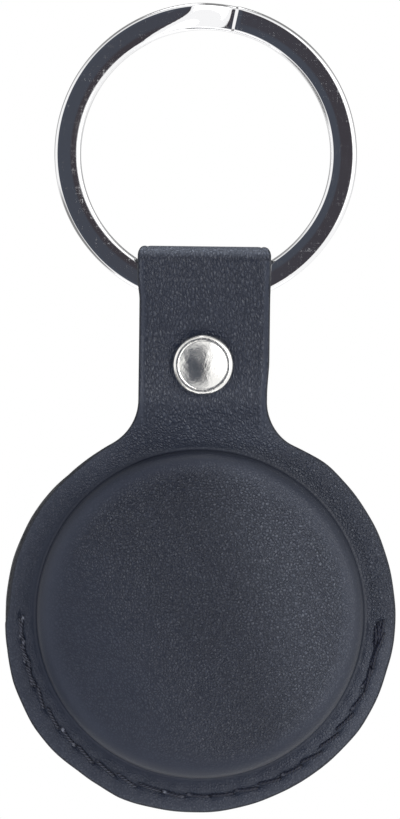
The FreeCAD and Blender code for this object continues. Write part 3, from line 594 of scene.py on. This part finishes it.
def dome_relief(x, z):
    """Slow hollows and swells in the moulded top, a few hundredths of a millimetre high."""
    r = np.hypot(x, z - DOME_Z)
    fade = smooth_step(17.0 * MM, 12.0 * MM, r)
    wave = (np.sin(x / (3.1 * MM) + 0.5) * np.sin(z / (3.7 * MM)) + 0.6 * np.sin((x + z) / (2.3 * MM) + 1.0)
            + 0.5 * np.sin((x - 1.4 * z) / (4.4 * MM)))
    return 0.035 * MM * fade * wave


def disc_rows(line, profile, flange_rows, depth_at):
    """A disc of leather as rings of points: rings of the dome's profile, then rings that run out over the
    flange to the outline. Depth_at gives the flange's place along Y."""
    away = line - [0, DOME_Z]
    unit = away / np.hypot(away[:, 0], away[:, 1])[:, None]
    r, y = profile
    dome_x, dome_z = r[:, None] * unit[None, :, 0], DOME_Z + r[:, None] * unit[None, :, 1]
    dome = stack(dome_x, y[:, None] + dome_relief(dome_x, dome_z), dome_z)
    share = np.linspace(0, 1, flange_rows + 1)[1:, None]
    share = 1 - (1 - share) ** 1.15
    foot_x, foot_z = r[-1] * unit[:, 0], DOME_Z + r[-1] * unit[:, 1]
    x = foot_x + share * (line[:, 0] - foot_x)
    z = foot_z + share * (line[:, 1] - foot_z)
    flange = stack(x, depth_at(x, z), z)
    return np.concatenate([dome, flange])


def grain_share(points):
    """Full grain on the top and the upper flange, strongest at the upper right; nearly smooth where the flank
    was stretched over the mould, and pressed smoother along the seam, at the left and on the neck."""
    x, up = points[..., 0], points[..., 2] - DOME_Z
    r = np.hypot(x, up)
    flange = smooth_step(17.6 * MM, 18.5 * MM, r)
    tight = smooth_step(14.2 * MM, 16.6 * MM, r) * (1 - flange)
    low_left = smooth_step(-1 * MM, -14 * MM, x + 0.6 * up)
    upper_right = smooth_step(0, 10 * MM, 0.9 * x + 0.5 * up) * (1 - flange)
    sewn = flange * smooth_step(1 * MM, -4 * MM, up)
    left_flange = flange * smooth_step(-4 * MM, -12 * MM, x)
    neck = smooth_step(16.5 * MM, 18.5 * MM, up)
    pressed = np.max([0.5 * low_left, 0.5 * sewn, 0.55 * left_flange, 0.18 * neck], axis=0)
    return (1 - 0.8 * tight) * (1 - pressed) * (1 + 0.25 * upper_right)


def rim_between(outer, inner, push, rows=8):
    """The rounded edge from the outer face's border to the inner one's, pushed out between them."""
    turn = np.linspace(0, math.pi, rows)[:, None, None]
    flat = np.sign(np.cos(turn)) * np.abs(np.cos(turn)) ** 0.7
    out = np.clip(np.sin(turn), 0, 1) ** 0.7
    return (outer + inner) / 2 + (outer - inner) / 2 * flat + push * out


def disc_rim(border, edge, outer, inner, round_off):
    """A disc's rounded edge, from the strap's right side round to its left."""
    ring = np.concatenate([np.arange(len(COLUMNS) - 1, len(border)), [0]])
    push = (edge - border)[ring]
    push = stack(push[:, 0], 0.0, push[:, 1])
    push[[0, -1]] = [[round_off, 0, 0], [-round_off, 0, 0]]
    return rim_between(outer[-1][ring], inner[-1][ring], push)


def cap_seat(x, z):
    """How far a snap's cap presses the leather in: deepest at the upper left, gone 1.3 mm past its edge."""
    past = np.hypot(x, z - SNAP_Z) - CAP_RADIUS
    upper_left = np.cos(np.arctan2(z - SNAP_Z, x) - math.radians(120))
    return 0.25 * MM * (1 + 0.45 * upper_left) * smooth_step(1.3 * MM, -0.2 * MM, past)


def front_disc(border):
    """Outer and inner face of the front's disc, with its dome and the neck."""
    def outer_depth(x, z):
        on_neck = smooth_step(DISC_Z + 19.5 * MM, DISC_Z + 22.5 * MM, z)
        share = np.linspace(0, 1, FLANGE_ROWS + 1)[1:, None]
        right = smooth_step(2 * MM, 15 * MM, x)
        droop = ((0.14 + 0.2 * right) * share ** 2 + 0.14 * share ** 5) * MM * (1 - on_neck)
        crease = on_neck * edge_crease(np.abs(STRAP_HALF - np.abs(x)))
        return strap_depth(z, 1) + seam_relief(x, z) + crease + cap_seat(x, z) + droop

    outer = disc_rows(border, dome_profile(0, (28, 18, 8, 8), RIM_Y, DOME_FOOT), FLANGE_ROWS, outer_depth)
    inner = disc_rows(border, dome_profile(LEATHER, (10, 8, 4, 4), RIM_Y + LEATHER, 0.5 * MM), 8,
                      lambda x, z: strap_depth(z, 0))
    return outer, inner


def front_strap():
    """Outer and inner face of the strap from the cut to its pared end, the lengths along it and the distances
    from its nearer side."""
    along = np.concatenate([np.linspace(CUT_S, FOLD_S, 70), np.linspace(FOLD_S, FOLDED_S, 14),
                            np.linspace(FOLDED_S, PATH_S[-1], 70)])
    along = np.unique(along)[:, None]
    y, z, lean = (np.interp(along, PATH_S, values) for values in (PATH_Y, PATH_Z, PATH_LEAN))
    # The strap is a little wider below the fold, and narrower behind it.
    near_fold = smooth_step(FOLD_S - 4.2 * MM, FOLD_S - 1.8 * MM, along)
    spread = near_fold - 1.6 * smooth_step(FOLD_S, TAIL_S, along)
    # At the fold the corners are rounded off: the nearer the top, the narrower.
    low = np.clip((LOOP_TOP - (z - LEATHER * np.sin(lean))) / (0.9 * MM), 0, 1)
    behind = smooth_step(4 * MM, 2 * MM, LOOP_TOP - z)
    rounded = 0.55 * MM * np.where(along < FOLDED_S, 1 - np.sqrt(1 - (1 - low) ** 2), behind)
    half = STRAP_HALF - EDGE_ROUND + STRAP_SPREAD * spread - rounded
    # Between neck and fold the right side stands out a little.
    bulge = smooth_step(CUT_S, CUT_S + 4 * MM, along) * (1 - near_fold)
    x = COLUMNS * half + 0.1 * MM * bulge * (1 + COLUMNS)
    from_side = (1 - np.abs(COLUMNS)) * half + EDGE_ROUND
    thick = LEATHER + (TAIL_THICK - LEATHER) * smooth_step(TAIL_S - 1 * MM, TAIL_S + 4 * MM, along)
    crease = edge_crease(from_side) * smooth_step(PATH_S[-1] - 12 * MM, PATH_S[-1] - 16 * MM, along)
    thick = thick - crease - cap_seat(x, z) * (along < FOLD_S)
    outer = stack(x, y - thick * np.cos(lean), z - thick * np.sin(lean))
    return outer, stack(x, y, z), along, from_side


def painted_disc_light(outer):
    """Painted light on the disc's outer face, and its smooth strips along the neck's sides. It is painted
    paler over the flange and most at the cut edge, paler where the hide bends out to the strap, and has
    painted highlights on the dome's right, a little on the left shoulder and along the neck's right side."""
    x, z = outer[..., 0], outer[..., 2]
    r = np.hypot(x, z - DOME_Z)
    on_neck = smooth_step(DISC_Z + 19 * MM, DISC_Z + 22 * MM, z)
    # Painted light: the flange is lifted where the dome shades it, with a painted highlight towards the cut
    # edge.
    at_edge = np.zeros(len(outer))
    at_edge[-FLANGE_ROWS:] = 0.035 + 0.09 * np.linspace(0, 1, FLANGE_ROWS) ** 4
    # Painted light: lifts the shaded leather below the neck.
    painted_neck_lift = 0.09 * smooth_step(DISC_Z + 16.5 * MM, DISC_Z + 18.5 * MM, z)
    off_shoulder = 1 - 0.68 * smooth_step(14.4 * MM, 16.6 * MM, r)
    # Painted highlights: on the dome's right, where the right lamp's sheen falls, and on the left shoulder.
    right = 0.25 * smooth_step(2 * MM, 12 * MM, x + 0.35 * (z - DOME_Z)) * off_shoulder * (1 - on_neck)
    left = 0.04 * smooth_step(-6 * MM, -13 * MM, x) * bell(r, 16.2 * MM, 1.2 * MM)
    # Painted highlight along the neck's right edge.
    strip = on_neck * side_strip(np.abs(STRAP_HALF - np.abs(x)))
    painted_pale = right + left + strip * np.where(x > 0, 0.05, 0.0)
    return np.maximum(at_edge[:, None] * (1 - on_neck), painted_neck_lift) + painted_pale, strip


def painted_strap_light(outer, along, from_side):
    """Painted light on the strap's outer face: a painted highlight at the top of the fold, a painted lift
    towards the neck and painted highlights along its sides; and the smooth strips there."""
    height, before_fold = outer[..., 2], along < FOLD_S
    strip = side_strip(from_side) * before_fold
    # Painted highlight along the top of the fold.
    top = smooth_step(1.3 * MM, 0.1 * MM, LOOP_TOP - height) * (along < FOLD_S + 2 * MM)
    # Painted lift of the strap's shade, stronger towards the neck.
    front = (0.03 + 0.055 * smooth_step(NECK_TOP + 5 * MM, NECK_TOP, height)) * before_fold
    # Painted highlights along the sides, most on the right.
    return top + front + strip * np.where(COLUMNS > 0, 0.07, 0.02), strip


def front_leather():
    """The moulded front in one cut: a disc with its dome, and a strap that follows the side view."""
    border, edge = cut_outline(EDGE_ROUND, front_unevenness), cut_outline(0, front_unevenness)
    outer, inner = front_disc(border)
    strap_out, strap_in, along, from_side = front_strap()
    left, right = (rim_between(strap_out[:, column], strap_in[:, column], np.array([push, 0, 0]))
                   for column, push in ((0, -EDGE_ROUND), (-1, EDGE_ROUND)))
    end = rim_between(strap_out[-1], strap_in[-1], np.array([0, 0, -EDGE_ROUND]))
    end[:, 0], end[:, -1] = left[:, -1], right[:, -1]
    # Painted light for the outer faces: lifts and highlights that pale the leather's colour.
    worn, neck_strip = painted_disc_light(outer)
    strap_light_paint, strip = painted_strap_light(strap_out, along, from_side)
    patches = [
        patch(outer, True, grain=grain_share(outer) * (1 - STRIP_SMOOTH * neck_strip), worn=worn),
        patch(inner, True, grain=1.0),
        patch(strap_out, grain=0.82 * (1 - STRIP_SMOOTH * strip), worn=strap_light_paint),
        patch(strap_in, grain=1.0),
    ]
    rims = [disc_rim(border, edge, outer, inner, EDGE_ROUND), left, right, end]
    patches += [patch(rim, slot=1, grain=1.0) for rim in rims]
    return piece("front_leather", patches, [LEATHER_LOOK, EDGE_LOOK], "pouch", ["front_panel"])


front_leather()


def tab_rows(inset):
    """Heights and half widths of the back's tab, from the cut up to its end, with two round corners."""
    end, half, corner = FLAP_HIGH.z - inset, STRAP_HALF - inset, TAB_CORNER - inset
    turn = np.linspace(0, math.pi / 2, 18)
    straight = np.linspace(CUT_Z, end - corner, 26)
    z = np.concatenate([straight, end - corner + corner * np.sin(turn[1:])])
    wide = np.concatenate([np.full(len(straight), half), half - corner + corner * np.cos(turn[1:])])
    return z, wide


def flat_back(name, front_y, back_y, inset, relief, materials, nodes):
    """A flat layer of the back in one cut, disc and tab, with rounded edges."""
    round_off = min(EDGE_ROUND, (back_y - front_y) / 2)
    border = cut_outline(inset + round_off, back_unevenness)
    edge = cut_outline(inset, back_unevenness)
    foot = DOME_RADIUS + DOME_FOOT
    outward = disc_rows(border, flat_profile(foot, 30, back_y), 22,
                        lambda x, z: back_y - relief * seam_relief(x, z))
    inward = disc_rows(border, flat_profile(foot, 12, front_y), 8, lambda x, z: front_y)
    tab_z, tab_half = tab_rows(inset + round_off)
    edge_z, edge_half = tab_rows(inset)
    x, z = COLUMNS * tab_half[:, None], tab_z[:, None]
    tab_out, tab_in = stack(x, back_y - relief * cap_seat(x, z), z), stack(x, front_y, z)
    sideways = stack(edge_half - tab_half, 0.0, edge_z - tab_z)
    rims = [disc_rim(border, edge, outward, inward, round_off)]
    for column, way in ((0, -1), (-1, 1)):
        rims.append(rim_between(tab_out[:, column], tab_in[:, column], sideways * [way, 1, 1]))
    rims.append(rim_between(tab_out[-1], tab_in[-1], np.array([0, 0, round_off])))
    patches = [patch(outward, True, grain=0.65), patch(inward, True, grain=1.0), patch(tab_out, grain=1.0),
               patch(tab_in, grain=1.0)]
    patches += [patch(rim, slot=len(materials) - 1, grain=1.0) for rim in rims]
    thing = piece(name, patches, materials, None, nodes)
    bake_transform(thing)
    return thing


def flat_profile(radius, rows, y):
    """Rings of a flat disc, as a dome's profile with no height."""
    r = np.linspace(0, radius, rows)
    return r, np.full(rows, y)


flat_back("back_leather", BACK_LOW.y, BACK_HIGH.y, 0.0, 1.0, [LEATHER_LOOK, EDGE_LOOK],
          ["back_panel", "back_flap"])
flat_back("back_cloth", BACK_LINING_LOW.y, BACK_LINING_HIGH.y, 0.08 * MM, 0.0, [LINING_LOOK],
          ["back_lining", "flap_lining"])


def pocket_cloth():
    """Lining of the pocket: the dome's profile under the leather, and a rim cut off below the neck."""
    angle = np.linspace(0, 2 * math.pi, 241)[:-1]
    reach, back_y = LINING_HIGH.x, LINING_HIGH.y
    line = np.stack([reach * np.cos(angle), DOME_Z + reach * np.sin(angle)], axis=-1)
    line[:, 1] = np.minimum(line[:, 1], LINING_HIGH.z)
    thick = 0.3 * MM
    under = LEATHER + 0.05 * MM
    outside = disc_rows(line, dome_profile(under, (14, 10, 6, 5), back_y - thick, 0.3 * MM), 8,
                        lambda x, z: back_y - thick)
    inside = disc_rows(line, dome_profile(under + thick, (20, 14, 8, 7), back_y, 0.6 * MM), 10,
                       lambda x, z: back_y)
    away = line - [0, DOME_Z]
    push = 0.08 * MM * away / np.hypot(away[:, 0], away[:, 1])[:, None]
    rim = rim_between(outside[-1], inside[-1], stack(push[:, 0], 0.0, push[:, 1]), 5)
    patches = [patch(outside, True), patch(inside, True), patch(rim, True)]
    return piece("pocket_cloth", patches, [LINING_LOOK], "pouch", ["front_lining"])


pocket_cloth()


# Seam
def stitches(name, face_y, way, node, seed):
    """Thread lying on one face of the seam. Each stitch is a twisted three-ply tube on an arc from hole to
    hole, diving into the leather at both ends. The first and last three are sewn over twice, crossing the
    stitches below, and the thread's end is knotted over the last hole. Way is -1 for the front and 1 for
    the back."""
    draw = np.random.default_rng(seed)
    pitch = math.radians(STITCH_TURN)
    over = np.array([0.1, 1.15, 2.05, STITCHES - 1.1, STITCHES - 2.1, STITCHES - 3.0])
    knot = STITCHES - np.array([1.8, 1.45, 1.2, 1.1, 0.95])
    first = np.concatenate([np.arange(STITCHES), over, knot])
    again = np.repeat([0, 1, 2], [STITCHES, len(over), len(knot)])
    aside = draw.normal(0, 0.05 * MM, len(first)) + 0.1 * MM * again
    aside[-len(knot):] += np.array([-0.1, 0.1, -0.42, -0.1, 0.16]) * MM
    loose = np.where(again == 2, 0.3, 0.07)
    slant = np.where(again == 1, -0.12, 0.16) + draw.normal(0, 1, len(first)) * loose
    lift = draw.normal(0, 0.03 * MM, len(first)) + 0.08 * MM * again
    # Painted glints: how pale the ends of each plain stitch are painted, where the thread dives into its
    # hole.
    glint_strength = np.where(again == 0, draw.uniform(0.0, 1.0, len(first)) ** 3, 0.0)[:, None, None]
    share = np.linspace(0, 1, 30)[None, :, None]
    turn = np.linspace(0, 2 * math.pi, 15)[None, None, :-1]
    first, aside, slant, lift = (values[:, None, None] for values in (first, aside, slant, lift))
    angle = math.pi + (first + share) * pitch
    run = (share - 0.5) * pitch * SEAM_RADIUS
    arch = 1 - np.abs(2 * share - 1) ** 3.2
    height = -0.42 * MM + (0.40 * MM + lift) * arch
    twist = 2 * math.pi * share * 2.2 + first
    ply = 0.5 + 0.5 * np.cos(3 * (turn - twist))
    thick = THREAD * (0.86 + 0.2 * ply)
    radial = SEAM_RADIUS + aside + slant * run + thick * np.cos(turn)
    y = face_y + way * (height + thick * np.sin(turn))
    points = stack(radial * np.cos(angle), y, DISC_Z + radial * np.sin(angle))
    fray = glint_strength * (bell(share, 0.13, 0.06) + 0.4 * bell(share, 0.88, 0.05))
    # On the left half the ply's ridges get painted pale highlights too.
    fray = fray + 0.35 * ply ** 4 * smooth_step(12, 7, first)
    patches = []
    for tube, shade, pale in zip(points, ply, fray):
        patches += [patch(tube, True, ply=shade, fray=pale), end_cap(tube[0]), end_cap(tube[-1])]
    return piece(name, patches, [THREAD_LOOK], "pouch", [node])


stitches("front_stitches", RIM_Y, -1, "needle_thread", 11)
stitches("back_stitches", BACK_HIGH.y, 1, "bobbin_thread", 12)


# Snap fastener
def turned(name, corners, round_off, body, node, segments=112):
    """A plated piece turned round the snap's axis: corners are (place along Y, radius), each softened by a
    short curve whose legs are round_off long at most. A closed outline makes a ring; one that starts and ends
    on the axis makes a solid."""
    corners = np.array(corners)
    back, ahead = np.roll(corners, 1, axis=0) - corners, np.roll(corners, -1, axis=0) - corners
    back_length, ahead_length = np.hypot(*back.T)[:, None], np.hypot(*ahead.T)[:, None]
    leave = corners + back / back_length * np.minimum(round_off, back_length * 0.45)
    join = corners + ahead / ahead_length * np.minimum(round_off, ahead_length * 0.45)
    share = np.linspace(0, 1, 5)[None, :, None]
    curve = ((1 - share) ** 2 * leave[:, None] + 2 * share * (1 - share) * corners[:, None]
             + share ** 2 * join[:, None])
    if corners[0, 1] == 0 and corners[-1, 1] == 0:
        line = np.concatenate([corners[:1], curve[1:-1].reshape(-1, 2), corners[-1:]])
    else:
        line = np.concatenate([curve.reshape(-1, 2), curve[0, :1]])
    y, r = line[:, :1], line[:, 1:]
    angle = np.linspace(0, 2 * math.pi, segments + 1)[None, :-1]
    points = stack(r * np.cos(angle), y, SNAP_Z + r * np.sin(angle))
    return piece(name, [patch(points, True)], [SNAP_LOOK], body, [node])


def bowed(from_y, from_r, to_y, count):
    """Corners of a shallow crown from a circle in to the axis, on part of a sphere."""
    share = np.linspace(0, 1, count)
    rise = to_y - from_y
    ball = (from_r ** 2 + rise ** 2) / (2 * abs(rise))
    r = from_r * (1 - share)
    y = from_y + np.sign(rise) * (np.sqrt(ball ** 2 - r ** 2) - math.sqrt(ball ** 2 - from_r ** 2))
    return np.stack([y, r], axis=-1).tolist()


def snap_cap():
    """Cap with a rolled rim, a fine step inside it and a low crown; its barrel goes through the strap."""
    barrel, rise = 1.2 * MM, STRAP_Y - CAP_LOW.y
    # The rim, in millimetres behind the strap's face and in shares of the cap's radius.
    rim = [(0.12, 0.94), (-0.02, 1.0), (-0.3, 0.995), (-0.52, 0.96), (-0.63, 0.91), (-0.66, 0.875),
           (-0.665, 0.83), (-0.645, 0.80), (-0.63, 0.785)]
    corners = [(CAP_HIGH.y, 0.0), (CAP_HIGH.y, barrel), (STRAP_Y + 0.12 * MM, barrel)]
    corners += [(STRAP_Y + behind * MM, CAP_RADIUS * share) for behind, share in rim]
    corners += bowed(STRAP_Y - 0.645 * MM, CAP_RADIUS * 0.765, STRAP_Y - rise * 0.86, 18)
    return turned("cap", corners, 0.05 * MM, "pouch", "snap_cap", 160)


def snap_socket():
    """Pressed socket behind the strap: a plate, a chamber for the ring spring and a lip round the mouth."""
    back, front = SOCKET_HIGH.y, SOCKET_LOW.y
    outer, bore, mouth, hole = 2.9 * MM, 2.35 * MM, 1.75 * MM, 1.22 * MM
    corners = [
        (front, hole), (front + 0.25 * MM, hole), (front + 0.25 * MM, bore), (back - 0.15 * MM, bore),
        (back - 0.15 * MM, mouth), (back, mouth), (back, outer - 0.35 * MM),
        (back - 0.35 * MM, outer - 0.15 * MM), (front + 0.2 * MM, outer), (front, outer),
    ]
    return turned("socket", corners, 0.06 * MM, "pouch", "snap_socket")


def snap_stud():
    """Stud on the tab: a foot, a waisted neck and a round bulb."""
    tip, foot = STUD_LOW.y, STUD_HIGH.y
    face, bore = foot - 0.3 * MM, 0.97 * MM
    corners = [
        (foot, bore), (foot, 2.7 * MM), (face + 0.15 * MM, 2.7 * MM), (face, 2.55 * MM), (face, 1.25 * MM),
        (face - 0.4 * MM, 1.25 * MM), (face - 0.5 * MM, 1.5 * MM), (tip + 0.12 * MM, 1.5 * MM),
        (tip, 1.3 * MM), (tip, bore),
    ]
    return turned("stud", corners, 0.08 * MM, "flap", "snap_stud")


def snap_post():
    """Post through the tab, with a low round head on the back."""
    tip, top, face = POST_LOW.y, POST_HIGH.y, BACK_HIGH.y
    head, barrel = (POST_HIGH.z - POST_LOW.z) / 2, 0.95 * MM
    corners = [(tip, 0.0), (tip, barrel), (face - 0.12 * MM, barrel), (face - 0.12 * MM, head * 0.95),
               (face, head), (face + 0.16 * MM, head)]
    corners += bowed(face + 0.25 * MM, head * 0.96, top, 16)
    return turned("post", corners, 0.05 * MM, "flap", "snap_post", 128)


def snap_spring():
    """Open ring of round wire in the socket's chamber."""
    middle, wire = (SPRING_LOW.y + SPRING_HIGH.y) / 2, (SPRING_HIGH.y - SPRING_LOW.y) / 2
    angle = np.radians(np.linspace(0, 335, 90))[:, None]
    turn = np.linspace(0, 2 * math.pi, 17)[None, :-1]
    away = SPRING_HIGH.x - wire + wire * np.cos(turn)
    wall = stack(away * np.cos(angle), middle + wire * np.sin(turn), SNAP_Z - away * np.sin(angle))
    patches = [patch(wall, True), end_cap(wall[0]), end_cap(wall[-1])]
    return piece("spring", patches, [SPRING_LOOK], "pouch", ["snap_spring"])


snap_cap()
snap_socket()
snap_stud()
snap_post()
snap_spring()


# Camera, light and floor
def studio_camera():
    """A long lens straight in front, turned a little, because the holder hangs slightly askew."""
    distance, field, roll = 0.7, 86.57 * MM, math.radians(-0.7)
    lens = bpy.data.cameras.new("studio_camera")
    lens.sensor_width = 36.0
    lens.lens = lens.sensor_width * distance / field
    camera = bpy.data.objects.new("studio_camera", lens)
    camera.location = (-0.27 * MM, RIM_Y - distance, DISC_Z + 21.93 * MM)
    camera.rotation_euler = (math.pi / 2, roll, 0)
    bpy.context.scene.collection.objects.link(camera)
    bpy.context.scene.camera = camera


def studio_lamp(name, place, size, power, mirrored=True):
    """A square soft lamp that faces the neck. A fill lamp isn't mirrored."""
    light = bpy.data.lights.new(name, "AREA")
    light.shape = "SQUARE"
    light.size = size
    light.energy = power
    lamp = bpy.data.objects.new(name, light)
    lamp.visible_glossy = mirrored
    lamp.visible_camera = False
    lamp.location = place
    towards = Vector((0.0, 0.0, NECK_Z)) - Vector(place)
    lamp.rotation_euler = towards.to_track_quat("-Z", "Y").to_euler()
    bpy.context.scene.collection.objects.link(lamp)


def sight_rays(add):
    """Two switches: 1 for a ray that was mirrored or let through, and 1 for a ray from the camera."""
    rays = add("LightPath").outputs
    return maths(add, "MAXIMUM", rays["Is Glossy Ray"], rays["Is Transmission Ray"]), rays["Is Camera Ray"]


def studio_world():
    """White surroundings that light from below more than from above. Mirrored, they have a dark patch in
    front, where the camera stands, bluish to the left and reddish to the right, and are dim above, behind and
    low on the left."""
    world = bpy.data.worlds.new("studio")
    bpy.context.scene.world = world
    world.use_nodes = True
    add = node_adder(world.node_tree)

    def both(first, second):
        return maths(add, "MULTIPLY", first, second)

    way = add("TexCoord").outputs["Generated"]
    x, y, z = add("SeparateXYZ", Vector=way).outputs
    white, black = (1, 1, 1, 1), (0, 0, 0, 1)
    sideways = both(ramp(add, x, -0.52, -0.36), ramp(add, x, 0.105, 0.07))
    level_with = both(ramp(add, z, -0.58, -0.34), ramp(add, z, 0.58, 0.34))
    dark = both(sideways, both(ramp(add, y, -0.2, -0.45), level_with))
    behind = both(ramp(add, y, 0.0, 0.5), ramp(add, z, -0.5, 0.4))
    above = both(ramp(add, y, -0.7, -0.2), ramp(add, z, 0.45, 0.8))
    low_left = both(ramp(add, x, -0.56, -0.66), ramp(add, z, -0.12, -0.32))
    dim = maths(add, "MAXIMUM", maths(add, "MAXIMUM", behind, above), low_left)
    bluish, reddish = (0.062, 0.07, 0.09, 1), (0.05, 0.045, 0.053, 1)
    camera_side = blend_colours(add, ramp(add, x, -0.03, 0.03), bluish, reddish)
    mirrored = blend_colours(add, both(dim, 0.75), white, black)
    mirrored = blend_colours(add, dark, mirrored, camera_side)
    below = add("VectorMath", {"operation": "DOT_PRODUCT"}, i0=way, i1=(-0.08, -0.5, -0.86)).outputs["Value"]
    level = ramp(add, below, -0.9, 0.9, 0.12, 0.22)
    soft = add("CombineXYZ", X=level, Y=level, Z=level).outputs[0]
    mirror_ray, camera_ray = sight_rays(add)
    seen = blend_colours(add, camera_ray, blend_colours(add, mirror_ray, soft, mirrored), white)
    connect(world.node_tree, world.node_tree.nodes["Background"], {"Color": seen})


def pale_floor():
    """A round floor well below the hanging holder, white to the eye and in mirrors."""
    material, add, feed = new_material("pale_floor")
    glow = maths(add, "MULTIPLY", maths(add, "MAXIMUM", *sight_rays(add)), 0.75)
    feed(Base_Color=(0.8, 0.8, 0.8, 1), Roughness=0.9, Emission_Color=(1, 1, 1, 1), Emission_Strength=glow)
    angle = np.linspace(0, 2 * math.pi, 97)[None, :-1]
    r = np.array([[0.0], [FLOOR_RADIUS]])
    points = stack(r * np.cos(angle), r * np.sin(angle), FRONT_LOW.z - FLOOR_DROP)
    patch_object("pale_floor", [patch(points, True)], [material])


studio_camera()
pale_floor()
studio_lamp("right_softbox", (0.36, -0.46, 0.10), 0.42, 1.3)
studio_lamp("top_softbox", (-0.02, 0.02, 0.50), 0.3, 0.6)
studio_lamp("front_fill", (-0.08, -0.60, -0.12), 0.3, 2.5, False)
studio_lamp("left_fill", (-0.42, -0.38, -0.05), 0.3, 0.3, False)
studio_lamp("back_fill", (0.30, 0.50, 0.25), 0.3, 1.9, False)
studio_world()
bpy.context.scene.view_settings.view_transform = "Standard"
